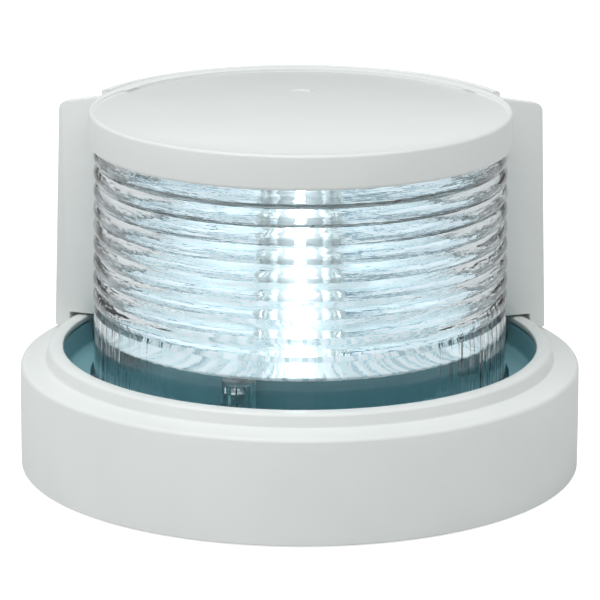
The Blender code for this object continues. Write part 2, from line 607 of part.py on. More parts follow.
def make_cap():
    """A shallow lid over the lens's neck: a flat lip round a slightly sunken disc."""
    lip_inner, skirt_z = CAP_RADIUS - CAP_LIP, SHOULDER_Z + GAP
    turned("cap", [(0.0, DISC_Z), (lip_inner - CAP_RECESS, DISC_Z), (lip_inner, CAP_TOP_Z),
                   (CAP_RADIUS, CAP_TOP_Z, EDGE_ROUND), (CAP_RADIUS, skirt_z, EDGE_ROUND),
                   (CAP_BORE, skirt_z), (CAP_BORE, CAP_CEILING_Z), (0.0, CAP_CEILING_Z)],
           WHITE, ring=False)
    seal_top = CAP_CEILING_Z - GAP
    seal_z = seal_top - CAP_SEAL_HEIGHT
    turned("cap_seal", [(NECK_RADIUS, seal_top), (NECK_RADIUS, seal_z),
                        (NECK_BORE, seal_z), (NECK_BORE, seal_top)], RUBBER)


def make_cover_ring():
    """The white ring that drops over the base: skirt, ledge and the raised rim round the trench."""
    ring = turned("cover_ring", [
        (RIM_INNER, RIM_TOP_Z, 0.0003), (RIM_RADIUS - RIM_DRAFT, RIM_TOP_Z, EDGE_ROUND),
        (RIM_RADIUS, LEDGE_Z + LEDGE_RISE), (COVER_RADIUS, LEDGE_Z, EDGE_ROUND),
        (COVER_RADIUS, GAP), (COVER_BORE, GAP), (COVER_BORE, LEDGE_UNDER_Z),
        (RIM_BORE, LEDGE_UNDER_Z), (RIM_BORE, RIM_TOP_Z - RIM_LIP),
        (RIM_INNER, RIM_TOP_Z - RIM_LIP)], WHITE, steps=COVER_STEPS)
    for index, angle in enumerate(SCREEN_SCREW_ANGLES):
        screw_bore(ring, f"ledge_hole_{index + 1}", polar(SCREEN_SCREW_CIRCLE, angle),
                   LEDGE_UNDER_Z - GAP, LEDGE_Z + LEDGE_RISE + GAP, SCREEN_SCREW_SHANK + GAP)


def make_rear_screen():
    """The screen that hides the light from astern: a curved wall, two wings and a foot."""
    embed = WING_THICKNESS / 2 / SCREEN_OUTER
    screen = sector("rear_screen", [
        (SCREEN_INNER, SCREEN_TOP_Z), (SCREEN_OUTER, SCREEN_TOP_Z, 0.0006),
        (SCREEN_OUTER, SHELF_TOP_Z), (SKIRT_RADIUS, SHELF_TOP_Z, EDGE_ROUND),
        (SKIRT_RADIUS, SKIRT_Z), (SKIRT_INNER, SKIRT_Z), (SKIRT_INNER, SHELF_Z),
        (SCREEN_INNER, SHELF_Z)],
        CUT_OFF + embed, math.pi - CUT_OFF - embed, SCREEN_STEPS, WHITE)
    inner, skirt = SCREEN_INNER + GAP / 2, SKIRT_INNER + GAP / 2
    for name, angle, behind in (("starboard", CUT_OFF, 1), ("port", math.pi - CUT_OFF, -1)):
        join(screen, plate(f"wing_{name}", [
            (inner, WING_ROOT_Z), (WING_TOP_RADIUS, WING_TIP_Z, WING_ROUND),
            (WING_FOOT_RADIUS, SKIRT_Z + GAP / 2), (skirt, SKIRT_Z + GAP / 2),
            (skirt, SHELF_Z + GAP / 2), (inner, SHELF_Z + GAP / 2)],
            angle, WING_THICKNESS, behind))
    bore_top = SKIRT_Z + SCREEN_SCREW_GRIP
    for index, angle in enumerate(SCREEN_SCREW_ANGLES):
        at = polar(SCREEN_SCREW_CIRCLE, angle)
        screw_bore(screen, f"screen_bore_{index + 1}", at, SKIRT_Z - GAP, bore_top + GAP,
                   SCREEN_SCREW_SHANK + GAP)
        pan_screw(f"screen_screw_{index + 1}", at, LEDGE_UNDER_Z - GAP - SCREW_HEAD_HEIGHT,
                  bore_top, SCREEN_SCREW_SHANK, SCREEN_SCREW_HEAD, recess=False)


clear_scene()
PARTS = new_collection("navigation_light")
CUTTERS = new_collection("cutters", hidden=True)

WHITE = principled("white plastic", (0.80, 0.82, 0.80), 0.35)
TEAL = principled("blue-grey plastic", (0.16, 0.29, 0.33), 0.40)
CLEAR = principled("clear plastic", (0.95, 0.98, 1.00), 0.03, transmission=1.0)
RUBBER = principled("black rubber", (0.03, 0.03, 0.03), 0.70)
STEEL = principled("stainless steel", (0.62, 0.62, 0.60), 0.25, metallic=1.0)
ALUMINIUM = principled("aluminium", (0.80, 0.80, 0.80), 0.35, metallic=1.0)
COPPER = principled("enamelled copper", (0.55, 0.22, 0.08), 0.35, metallic=1.0)
BOARD = principled("circuit board", (0.02, 0.16, 0.07), 0.45)
BLACK = principled("black plastic", (0.02, 0.02, 0.02), 0.45)
RED = principled("red insulation", (0.60, 0.03, 0.02), 0.50)
NYLON = principled("natural nylon", (0.70, 0.68, 0.58), 0.50)
LED = principled("lit LED", (0.90, 0.96, 1.00), 0.30, emission=8.0)

make_gasket()
make_base_body()
make_bottom_plate()
make_driver()
make_lens()
make_led_post()
make_tray()
make_leads()
make_cap()
make_cover_ring()
make_rear_screen()
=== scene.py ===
# %% [markdown]
# # A masthead navigation light, lit
#
# The light stands on a pale floor and looks towards the camera with its bow side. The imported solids
# give every place and size. What is seen gets a finer mesh here: turned parts are spun from their
# outlines, plates are extruded and bevelled, and each finish is a node material that holds the small
# changes of tone and gloss a moulded part has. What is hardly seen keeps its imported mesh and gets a
# finish of its own.

# %% Load the frame
import json
import math

import bmesh
import bpy
from mathutils import Matrix, Vector


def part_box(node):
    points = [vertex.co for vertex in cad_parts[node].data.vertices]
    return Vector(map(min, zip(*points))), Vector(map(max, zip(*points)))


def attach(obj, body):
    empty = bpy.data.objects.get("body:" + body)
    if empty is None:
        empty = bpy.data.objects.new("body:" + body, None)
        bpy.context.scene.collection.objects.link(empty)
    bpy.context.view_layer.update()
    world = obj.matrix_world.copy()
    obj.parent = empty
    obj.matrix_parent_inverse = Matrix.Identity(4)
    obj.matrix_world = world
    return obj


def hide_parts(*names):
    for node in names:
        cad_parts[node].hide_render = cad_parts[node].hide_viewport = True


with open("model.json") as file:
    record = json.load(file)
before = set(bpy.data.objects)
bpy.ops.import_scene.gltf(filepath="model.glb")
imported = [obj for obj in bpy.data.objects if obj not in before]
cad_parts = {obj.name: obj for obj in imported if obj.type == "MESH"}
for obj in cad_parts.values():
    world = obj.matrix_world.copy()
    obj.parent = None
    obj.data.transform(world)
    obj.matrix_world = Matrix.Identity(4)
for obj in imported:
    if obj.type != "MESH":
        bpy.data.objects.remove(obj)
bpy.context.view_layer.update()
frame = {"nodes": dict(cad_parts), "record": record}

scene = bpy.context.scene

# %% [markdown]
# ## Sizes
#
# A finer piece has to sit where its solid sits, so its main radii and heights are read from the
# solids' boxes. Only what a box can't tell, such as a wall or the width of a lip, is written here.

# %% Sizes read from the solids
MM = 0.001
GAP = 0.3 * MM
COVER_R, COVER_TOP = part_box("cover_ring")[1][0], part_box("cover_ring")[1][2]
CAP_R, CAP_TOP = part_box("cap")[1][0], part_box("cap")[1][2]
CAP_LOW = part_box("cap")[0][2]
LENS_R, LENS_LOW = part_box("lens")[1][0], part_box("lens")[0][2]
NECK_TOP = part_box("lens")[1][2]
TRAY_R, TRAY_LOW, TRAY_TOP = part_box("led_tray")[1][0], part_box("led_tray")[0][2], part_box("led_tray")[1][2]
FLANGE_R, FLANGE_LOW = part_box("base_body")[1][0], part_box("base_body")[0][2]
CUT_OFF = math.radians(22.5)
print("cover radius", COVER_R, "lens radius", LENS_R, "cap top", CAP_TOP)

# %% [markdown]
# ## Turning an outline
#
# Most of this light is turned: an outline in the plane of the axis, swept right round. The corners of
# the outline are given as radius and height, with a third number where the mould has a rounding. A
# small function replaces such a corner by an arc, and the spin operator does the rest.

# %% Helpers for outlines
ARC_STEPS = 5
SPIN_STEPS = 192
print("points in a rounded corner", ARC_STEPS + 1, "facets in a full turn", SPIN_STEPS)


def rounded(corners, steps=ARC_STEPS):
    """Corners as (r, z) or (r, z, radius) become points, with an arc in each rounded corner."""
    points = []
    for index, corner in enumerate(corners):
        here = Vector(corner[:2])
        if len(corner) == 2:
            points.append(here)
            continue
        one = (Vector(corners[index - 1][:2]) - here).normalized()
        two = (Vector(corners[(index + 1) % len(corners)][:2]) - here).normalized()
        half = one.angle(two) / 2
        centre = here + (one + two).normalized() * (corner[2] / math.sin(half))
        start = here + one * (corner[2] / math.tan(half)) - centre
        end = here + two * (corner[2] / math.tan(half)) - centre
        sweep = start.angle_signed(end)
        for step in range(steps + 1):
            turn = Matrix.Rotation(-sweep * step / steps, 2)
            points.append(centre + turn @ start)
    return points


def swept(corners, start=0.0, end=2 * math.pi, steps=SPIN_STEPS, axis_ends=False):
    """Spin an outline about the vertical axis: right round, or between two angles with flat ends."""
    bm = bmesh.new()
    whole = end - start > 2 * math.pi - 0.001
    verts = [bm.verts.new((p[0] * math.cos(start), p[0] * math.sin(start), p[1]))
             for p in rounded(corners)]
    if whole:
        edges = [bm.edges.new(pair) for pair in zip(verts, verts[1:])]
        if not axis_ends:
            edges.append(bm.edges.new((verts[-1], verts[0])))
        geom = verts + edges
    else:
        face = bm.faces.new(verts)
        geom = [face, *face.edges, *face.verts]
    bmesh.ops.spin(bm, geom=geom, cent=(0, 0, 0), axis=(0, 0, 1), angle=end - start,
                   steps=steps, use_merge=whole)
    bmesh.ops.remove_doubles(bm, verts=bm.verts, dist=0.001 * MM)
    bmesh.ops.recalc_face_normals(bm, faces=bm.faces)
    return bm


# %% [markdown]
# ## From a bmesh to a piece
#
# Some pieces are put together from several shapes, such as a wall and its two wings. Shapes that only
# overlap would leave faces inside the plastic, so a Boolean modifier joins them, and its result is
# taken as the final mesh. Every piece then rides on its body, stands for its solid, and is shaded
# smooth with sharp edges kept.

# %% Helpers for pieces
def loose(name, bm):
    """An object to combine with others, not yet a piece."""
    mesh = bpy.data.meshes.new(name)
    bm.to_mesh(mesh)
    bm.free()
    obj = bpy.data.objects.new(name, mesh)
    scene.collection.objects.link(obj)
    return obj


def combined(base, joined=(), cut=()):
    """Join and cut shapes, and give back one bmesh of the result."""
    for operation, tools in (("UNION", joined), ("DIFFERENCE", cut)):
        for tool in tools:
            boolean = base.modifiers.new(operation, "BOOLEAN")
            boolean.operation = operation
            boolean.solver = "EXACT"
            boolean.object = tool
    evaluated = base.evaluated_get(bpy.context.evaluated_depsgraph_get())
    bm = bmesh.new()
    bm.from_mesh(evaluated.to_mesh())
    for obj in (base, *joined, *cut):
        bpy.data.objects.remove(obj, do_unlink=True)
    bmesh.ops.remove_doubles(bm, verts=bm.verts, dist=0.001 * MM)
    return bm


def piece(name, bm, body, slot, nodes=(), sharp=32):
    """A finished piece: it rides on a body, takes a slot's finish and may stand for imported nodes."""
    mesh = bpy.data.meshes.new(name)
    bm.to_mesh(mesh)
    bm.free()
    mesh.materials.append(FINISH[slot])
    mesh.shade_smooth()
    mesh.set_sharp_from_angle(angle=math.radians(sharp))
    obj = bpy.data.objects.new(name, mesh)
    scene.collection.objects.link(obj)
    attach(obj, body)
    if nodes:
        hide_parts(*nodes)
    print(f"{name}: {len(mesh.polygons)} faces")
    return obj


def rod(radius, low, high, at=(0.0, 0.0), steps=48):
    """A plain round bar, for a boss or a hole."""
    bm = bmesh.new()
    bmesh.ops.create_cone(bm, cap_ends=True, segments=steps, radius1=radius, radius2=radius,
                          depth=high - low)
    bmesh.ops.translate(bm, verts=bm.verts, vec=(at[0], at[1], (low + high) / 2))
    return bm


def bar(low, high, angle=0.0, edge=0.0):
    """A box between two corners, turned about the vertical axis, with rounded edges."""
    bm = bmesh.new()
    bmesh.ops.create_cube(bm, size=1.0)
    bmesh.ops.scale(bm, verts=bm.verts, vec=[b - a for a, b in zip(low, high)])
    bmesh.ops.translate(bm, verts=bm.verts, vec=[(a + b) / 2 for a, b in zip(low, high)])
    if edge:
        bmesh.ops.bevel(bm, geom=bm.edges[:], offset=edge, affect="EDGES", segments=3, profile=0.5,
                        material=-1)
    bmesh.ops.rotate(bm, verts=bm.verts, cent=(0, 0, 0), matrix=Matrix.Rotation(angle, 3, "Z"))
    return bm


def polar(radius, angle):
    """A place on the level plane from its radius and its angle."""
    return radius * math.cos(angle), radius * math.sin(angle)


# %% [markdown]
# ## Finishes
#
# A finish is a tree of nodes. Adding one, setting its inputs and linking it takes several lines each
# time, so small helpers do that, and the trees below read like sums.

# %% A small node builder
def node(tree, kind, inputs=None, **settings):
    """Add a node; an input is either a plain value or a socket to link from."""
    made = tree.nodes.new(kind)
    for key, value in settings.items():
        setattr(made, key, value)
    for key, value in (inputs or {}).items():
        if isinstance(value, bpy.types.NodeSocket):
            tree.links.new(value, made.inputs[key])
        else:
            made.inputs[key].default_value = value
    return made


def maths(tree, operation, *values):
    """The result of a Math node, as a socket."""
    return node(tree, "ShaderNodeMath", dict(enumerate(values)), operation=operation).outputs[0]


def ramp(tree, value, start=(0.0, 1.0), end=(0.0, 1.0)):
    """A value carried from one range to another and held at its ends, as a socket."""
    return node(tree, "ShaderNodeMapRange", {"Value": value, "From Min": start[0], "From Max": start[1],
                                             "To Min": end[0], "To Max": end[1]}).outputs["Result"]


def new_group(name, inputs, outputs):
    """A node group with its sockets, and the two nodes that stand for them inside."""
    group = bpy.data.node_groups.new(name, "ShaderNodeTree")
    for label, kind, value in inputs:
        group.interface.new_socket(label, in_out="INPUT", socket_type=kind).default_value = value
    for label, kind in outputs:
        group.interface.new_socket(label, in_out="OUTPUT", socket_type=kind)
    return group, group.nodes.new("NodeGroupInput"), group.nodes.new("NodeGroupOutput")


# %% [markdown]
# A moulded part is never one flat colour. Its gloss changes where the melt met the mould, the skin has
# a very fine grain, and a soft unevenness of tone runs over it. That is one effect with different
# strengths on white, blue-grey, rubber and nylon, so it is a node group, built once.


# %% The moulded skin: tone, gloss and grain
def make_moulded_skin():
    group, given, out = new_group("moulded skin", [
        ("Colour", "NodeSocketColor", (0.8, 0.8, 0.8, 1)),
        ("Shade", "NodeSocketColor", (0.7, 0.7, 0.7, 1)),
        ("Gloss", "NodeSocketFloat", 0.35), ("Gloss spread", "NodeSocketFloat", 0.1),
        ("Grain size", "NodeSocketFloat", 1400.0)], [
        ("Colour", "NodeSocketColor"), ("Roughness", "NodeSocketFloat"), ("Height", "NodeSocketFloat")])
    where = node(group, "ShaderNodeTexCoord").outputs["Object"]
    cloud = node(group, "ShaderNodeTexNoise", {"Vector": where, "Scale": 45.0, "Detail": 4.0})
    grain = node(group, "ShaderNodeTexNoise", {"Vector": where, "Scale": given.outputs["Grain size"],
                                               "Detail": 3.0})
    speck = node(group, "ShaderNodeTexNoise", {"Vector": where, "Scale": 600.0, "Detail": 2.0})
    tone = ramp(group, cloud.outputs["Fac"], (0.35, 0.75))
    colour = node(group, "ShaderNodeMix", {"Factor": tone, "A": given.outputs["Colour"],
                                           "B": given.outputs["Shade"]}, data_type="RGBA")
    uneven = maths(group, "ADD", speck.outputs["Fac"], cloud.outputs["Fac"])
    centred = maths(group, "SUBTRACT", uneven, 1.0)
    gloss = maths(group, "MULTIPLY_ADD", centred, given.outputs["Gloss spread"], given.outputs["Gloss"])
    group.links.new(colour.outputs["Result"], out.inputs["Colour"])
    group.links.new(gloss, out.inputs["Roughness"])
    group.links.new(grain.outputs["Fac"], out.inputs["Height"])
    return group


MOULDED_SKIN = make_moulded_skin()
print("groups", [g.name for g in bpy.data.node_groups])


# %% [markdown]
# Each plastic or rubber is then that group with its own two tones, its gloss and the size and depth of
# its grain. They are kept by the name of their slot, so that a piece can ask for its finish.


# %% Materials that use it
def new_material(name):
    made = bpy.data.materials.new(name)
    made.use_nodes = True
    return made, made.node_tree, made.node_tree.nodes["Principled BSDF"]


def moulded(name, colour, shade, gloss, spread=0.12, grain=1400.0, relief=0.06, **sockets):
    """A plastic or rubber with the moulded skin."""
    made, tree, shader = new_material(name)
    skin = node(tree, "ShaderNodeGroup", node_tree=MOULDED_SKIN)
    skin.inputs["Colour"].default_value = (*colour, 1)
    skin.inputs["Shade"].default_value = (*shade, 1)
    skin.inputs["Gloss"].default_value = gloss
    skin.inputs["Gloss spread"].default_value = spread
    skin.inputs["Grain size"].default_value = grain
    bump = node(tree, "ShaderNodeBump", {"Height": skin.outputs["Height"], "Strength": relief,
                                         "Distance": 0.05 * MM})
    tree.links.new(skin.outputs["Colour"], shader.inputs["Base Color"])
    tree.links.new(skin.outputs["Roughness"], shader.inputs["Roughness"])
    tree.links.new(bump.outputs["Normal"], shader.inputs["Normal"])
    for label, value in sockets.items():
        shader.inputs[label.replace("_", " ")].default_value = value
    return made


FINISH = {
    "white_plastic": moulded("white plastic", (0.800, 0.825, 0.805), (0.765, 0.795, 0.775), 0.34),
    "blue_grey_plastic": moulded("blue-grey plastic", (0.250, 0.500, 0.550), (0.210, 0.445, 0.500), 0.38),
    "black_rubber": moulded("black rubber", (0.030, 0.031, 0.032), (0.045, 0.045, 0.046), 0.70,
                            grain=2600.0, relief=0.25),
    "natural_nylon": moulded("natural nylon", (0.70, 0.68, 0.58), (0.64, 0.61, 0.50), 0.48),
    "black_plastic": moulded("black plastic", (0.020, 0.020, 0.021), (0.030, 0.030, 0.031), 0.45),
    "red_insulation": moulded("red insulation", (0.60, 0.03, 0.02), (0.50, 0.02, 0.02), 0.50),
}

# %% [markdown]
# Metal is a second effect. Screws and the post are drawn or machined, so fine lines of gloss run round
# or along them, and the same stretched noise serves them all.


# %% Metals
def make_drawn_metal():
    group, given, out = new_group("drawn metal", [
        ("Gloss", "NodeSocketFloat", 0.3), ("Stretch", "NodeSocketVector", (1, 1, 1)),
        ("Tone", "NodeSocketColor", (0.6, 0.6, 0.6, 1)),
        ("Dark", "NodeSocketColor", (0.5, 0.5, 0.5, 1))], [
        ("Colour", "NodeSocketColor"), ("Roughness", "NodeSocketFloat"), ("Height", "NodeSocketFloat")])
    where = node(group, "ShaderNodeTexCoord").outputs["Object"]
    along = node(group, "ShaderNodeMapping", {"Vector": where, "Scale": given.outputs["Stretch"]})
    lines = node(group, "ShaderNodeTexNoise", {"Vector": along.outputs["Vector"], "Scale": 1.0,
                                               "Detail": 3.0})
    colour = node(group, "ShaderNodeMix", {"Factor": lines.outputs["Fac"], "A": given.outputs["Tone"],
                                           "B": given.outputs["Dark"]}, data_type="RGBA")
    gloss = maths(group, "MULTIPLY_ADD", lines.outputs["Fac"], 0.25, given.outputs["Gloss"])
    group.links.new(colour.outputs["Result"], out.inputs["Colour"])
    group.links.new(gloss, out.inputs["Roughness"])
    group.links.new(lines.outputs["Fac"], out.inputs["Height"])
    return group


DRAWN_METAL = make_drawn_metal()


def drawn(name, tone, dark, gloss, stretch):
    """A bare metal with fine lines stretched one way."""
    made, tree, shader = new_material(name)
    metal = node(tree, "ShaderNodeGroup", node_tree=DRAWN_METAL)
    metal.inputs["Tone"].default_value = (*tone, 1)
    metal.inputs["Dark"].default_value = (*dark, 1)
    metal.inputs["Gloss"].default_value = gloss
    metal.inputs["Stretch"].default_value = stretch
    bump = node(tree, "ShaderNodeBump", {"Height": metal.outputs["Height"], "Strength": 0.15,
                                         "Distance": 0.03 * MM})
    tree.links.new(metal.outputs["Colour"], shader.inputs["Base Color"])
    tree.links.new(metal.outputs["Roughness"], shader.inputs["Roughness"])
    tree.links.new(bump.outputs["Normal"], shader.inputs["Normal"])
    shader.inputs["Metallic"].default_value = 1.0
    return made


FINISH["stainless_steel"] = drawn("stainless steel", (0.66, 0.66, 0.64), (0.50, 0.50, 0.49), 0.18,
                                  (900, 900, 5000))
FINISH["aluminium"] = drawn("bare aluminium", (0.82, 0.82, 0.83), (0.68, 0.68, 0.70), 0.25,
                            (3000, 3000, 150))
FINISH["enamelled_copper"] = drawn("enamelled copper", (0.55, 0.22, 0.08), (0.30, 0.10, 0.03), 0.22,
                                   (300, 300, 2200))

# %% [markdown]
# The lens is clear plastic. Its ribs are real geometry, because they bend what is behind them. What
# geometry leaves out is the slight waviness of a moulded surface, which breaks every reflection into
# short streaks that run round the drum. So the noise is read in angle and height, not in x and y.


# %% Clear plastic
def make_round_streaks():
    """Noise that runs round the vertical axis: short in height and long round the drum."""
    group, given, out = new_group("round streaks", [("Around", "NodeSocketFloat", 8.0),
                                                    ("Up", "NodeSocketFloat", 900.0)],
                                  [("Height", "NodeSocketFloat")])
    where = node(group, "ShaderNodeTexCoord").outputs["Object"]
    parts = node(group, "ShaderNodeSeparateXYZ", {"Vector": where})
    angle = maths(group, "ARCTAN2", parts.outputs["Y"], parts.outputs["X"])
    # The sine and cosine of the angle join up where the angle itself would jump.
    across = maths(group, "MULTIPLY", maths(group, "COSINE", angle), given.outputs["Around"])
    ahead = maths(group, "MULTIPLY", maths(group, "SINE", angle), given.outputs["Around"])
    height = maths(group, "MULTIPLY", parts.outputs["Z"], given.outputs["Up"])
    place = node(group, "ShaderNodeCombineXYZ", {"X": across, "Y": ahead, "Z": height})
    streaks = node(group, "ShaderNodeTexNoise", {"Vector": place.outputs["Vector"], "Scale": 1.0,
                                                 "Detail": 3.0})
    group.links.new(streaks.outputs["Fac"], out.inputs["Height"])
    return group


ROUND_STREAKS = make_round_streaks()


def clear(name):
    """Clear plastic whose waviness runs round the ribs and up the plain foot."""
    made, tree, shader = new_material(name)
    streaks = node(tree, "ShaderNodeGroup", node_tree=ROUND_STREAKS)
    streaks.inputs["Around"].default_value = 3.0
    streaks.inputs["Up"].default_value = 700.0
    # Below the ribs the mould was finished upright, so there the lines run up and not round.
    upright = node(tree, "ShaderNodeGroup", node_tree=ROUND_STREAKS)
    upright.inputs["Around"].default_value = 18.0
    upright.inputs["Up"].default_value = 25.0
    where = node(tree, "ShaderNodeTexCoord").outputs["Object"]
    height = node(tree, "ShaderNodeSeparateXYZ", {"Vector": where}).outputs["Z"]
    foot = ramp(tree, height, (33 * MM, 31 * MM))
    lines = node(tree, "ShaderNodeMix", {"Factor": foot, "A": streaks.outputs["Height"],
                                         "B": upright.outputs["Height"]})
    bump = node(tree, "ShaderNodeBump", {"Height": lines.outputs["Result"], "Strength": 0.5,
                                         "Distance": 0.5 * MM})
    gloss = ramp(tree, streaks.outputs["Height"], end=(0.01, 0.06))
    tree.links.new(gloss, shader.inputs["Roughness"])
    tree.links.new(bump.outputs["Normal"], shader.inputs["Normal"])
    shader.inputs["Base Color"].default_value = (0.93, 0.985, 1.0, 1)
    shader.inputs["Transmission Weight"].default_value = 1.0
    shader.inputs["IOR"].default_value = 1.58
    return made


FINISH["clear_plastic"] = clear("clear plastic")

# %% [markdown]
# A circuit board is a woven laminate under a coat of resist. A brick pattern at thread size gives the
# weave, both as a change of tone and as a slight relief, which is cheaper than modelling threads.


# %% Circuit boards
def board(name, resist, thread):
    """Woven laminate under a coat of resist."""
    made, tree, shader = new_material(name)
    where = node(tree, "ShaderNodeTexCoord").outputs["Object"]
    weave = node(tree, "ShaderNodeTexBrick", {"Vector": where, "Scale": 900.0, "Color1": (1, 1, 1, 1),
                                              "Color2": (0.8, 0.8, 0.8, 1), "Mortar": (0, 0, 0, 1),
                                              "Mortar Size": 0.04})
    colour = node(tree, "ShaderNodeMix", {"Factor": weave.outputs["Fac"], "A": (*resist, 1),
                                          "B": (*thread, 1)}, data_type="RGBA")
    bump = node(tree, "ShaderNodeBump", {"Height": weave.outputs["Fac"], "Strength": 0.1,
                                         "Distance": 0.03 * MM})
    tree.links.new(colour.outputs["Result"], shader.inputs["Base Color"])
    tree.links.new(bump.outputs["Normal"], shader.inputs["Normal"])
    shader.inputs["Roughness"].default_value = 0.38
    return made


FINISH["circuit_board"] = board("green circuit board", (0.02, 0.16, 0.07), (0.03, 0.20, 0.10))
WHITE_BOARD = board("white LED board", (0.80, 0.82, 0.80), (0.72, 0.75, 0.73))
print("boards", FINISH["circuit_board"].name, WHITE_BOARD.name)

# %% [markdown]
# A lit strip is a row of chips that throw a pale blue-white beam outwards. An even glow on every face
# would light the strip's thin sides too, so a mask keeps it to the face that looks out, and a power of
# the Layer Weight narrows it to a beam.

# %% Lit strips
LED_STRENGTH = 130.0
BEAM_POWER = 8.0
FACE_COSINE = 0.935     # how squarely a face has to look outwards to count as the chips' face


def from_axis(tree, where):
    """The place on the level plane, as a vector from the upright axis."""
    level = node(tree, "ShaderNodeVectorMath", {0: where, 1: (1, 1, 0)}, operation="MULTIPLY")
    return level.outputs["Vector"]


def outward_faces(tree, where):
    """1 on faces that look straight away from the upright axis, 0 on the edges and ends of a piece."""
    normal = node(tree, "ShaderNodeNewGeometry").outputs["Normal"]
    outward = node(tree, "ShaderNodeVectorMath", {0: from_axis(tree, where)}, operation="NORMALIZE")
    front = node(tree, "ShaderNodeVectorMath", {0: outward.outputs["Vector"], 1: normal},
                 operation="DOT_PRODUCT")
    return maths(tree, "GREATER_THAN", front.outputs["Value"], FACE_COSINE)


def lit(name, strength):
    """A lit chip shines from its front face and mostly straight ahead, so it falls off to the side."""
    made, tree, shader = new_material(name)
    where = node(tree, "ShaderNodeTexCoord").outputs["Object"]
    cells = node(tree, "ShaderNodeTexVoronoi", {"Vector": where, "Scale": 350.0})
    colour = node(tree, "ShaderNodeMix", {"Factor": cells.outputs["Distance"], "A": (0.92, 0.97, 1.0, 1),
                                          "B": (0.74, 0.89, 1.0, 1)}, data_type="RGBA")
    aside = node(tree, "ShaderNodeLayerWeight").outputs["Facing"]
    ahead = maths(tree, "SUBTRACT", 1.0, aside)
    beam = maths(tree, "POWER", ahead, BEAM_POWER)
    masked = maths(tree, "MULTIPLY", beam, outward_faces(tree, where))
    power = maths(tree, "MULTIPLY", masked, strength)
    tree.links.new(colour.outputs["Result"], shader.inputs["Emission Color"])
    tree.links.new(power, shader.inputs["Emission Strength"])
    shader.inputs["Base Color"].default_value = (0.90, 0.93, 0.90, 1)
    shader.inputs["Roughness"].default_value = 0.3
    return made


FINISH["lit_led"] = lit("lit LED", LED_STRENGTH)
print("lit strips", FINISH["lit_led"].name)

# %% [markdown]
# White parts beside the chips scatter some of their light: the boards, the post and the tray. Simulating
# that needs many bounces through the lens, so each white part is given a weak glow of its own instead,
# strongest low down and near the strip, and weak where the part is seen edge on.

# %% Scattered light on the boards and the post
SPILL_LOW, SPILL_HIGH = 42 * MM, 50 * MM
SPILL_TOP = 0.42
SPILL_NEAR, SPILL_FAR = 7.2 * MM, 8.2 * MM


def spill(material, strength):
    """A weak glow on a white part that fades with height, with distance from the strip, and edge on."""
    tree = material.node_tree
    shader = tree.nodes["Principled BSDF"]
    where = node(tree, "ShaderNodeTexCoord").outputs["Object"]
    height = node(tree, "ShaderNodeSeparateXYZ", {"Vector": where}).outputs["Z"]
    fade = ramp(tree, height, (SPILL_LOW, SPILL_HIGH), (strength, SPILL_TOP))
    reach = node(tree, "ShaderNodeVectorMath", {0: from_axis(tree, where)}, operation="LENGTH")
    aside = ramp(tree, reach.outputs["Value"], (SPILL_NEAR, SPILL_FAR), (1.0, 0.25))
    soft = maths(tree, "MULTIPLY", fade, aside)
    facing = node(tree, "ShaderNodeLayerWeight").outputs["Facing"]
    edge_on = ramp(tree, facing, (0.2, 0.7), (1.0, 0.15))
    glowing = maths(tree, "MULTIPLY", soft, edge_on)
    tree.links.new(glowing, shader.inputs["Emission Strength"])
    shader.inputs["Emission Color"].default_value = (0.78, 0.91, 1.0, 1)


spill(WHITE_BOARD, 1.3)
WHITE_COAT = moulded("white powder coat", (0.78, 0.79, 0.77), (0.74, 0.75, 0.73), 0.45, grain=2200.0,
                     relief=0.2)
spill(WHITE_COAT, 0.55)
print("scattered light on", WHITE_BOARD.name, "and", WHITE_COAT.name)

# %% [markdown]
# The inner screen is gloss white and stands close behind the drum, so the drum's ripples are thrown on
# it as long level bands, light and blue-grey. A noise stretched level paints these bands as painted light
# and painted shade, in the colour and in a weak glow, at less cost than tracing caustics.


# %% The rippled reflector
def reflector(name):
    """Gloss white with long level bands of painted light and painted shade, and a painted glow."""
    made, tree, shader = new_material(name)
    where = node(tree, "ShaderNodeTexCoord").outputs["Object"]
    level = node(tree, "ShaderNodeMapping", {"Vector": where, "Scale": (26, 26, 430)})
    ripples = node(tree, "ShaderNodeTexNoise", {"Vector": level.outputs["Vector"], "Scale": 1.0,
                                                "Detail": 2.5, "Distortion": 1.0})
    # Painted light and shade: the bands go from dark blue-grey to near white.
    tone = ramp(tree, ripples.outputs["Fac"], (0.41, 0.58))
    colour = node(tree, "ShaderNodeMix", {"Factor": tone, "A": (0.30, 0.46, 0.54, 1),
                                          "B": (0.93, 0.96, 0.97, 1)}, data_type="RGBA")
    # A painted glow, strongest in the light bands, where the drum throws its light.
    painted_glow = maths(tree, "MULTIPLY_ADD", tone, 0.70, 0.05)
    tree.links.new(colour.outputs["Result"], shader.inputs["Base Color"])
    tree.links.new(painted_glow, shader.inputs["Emission Strength"])
    shader.inputs["Emission Color"].default_value = (0.84, 0.95, 1.0, 1)
    shader.inputs["Roughness"].default_value = 0.2
    return made


PAINTED_CAUSTIC_WHITE = reflector("reflector with painted caustics")
print("inner screen", PAINTED_CAUSTIC_WHITE.name)
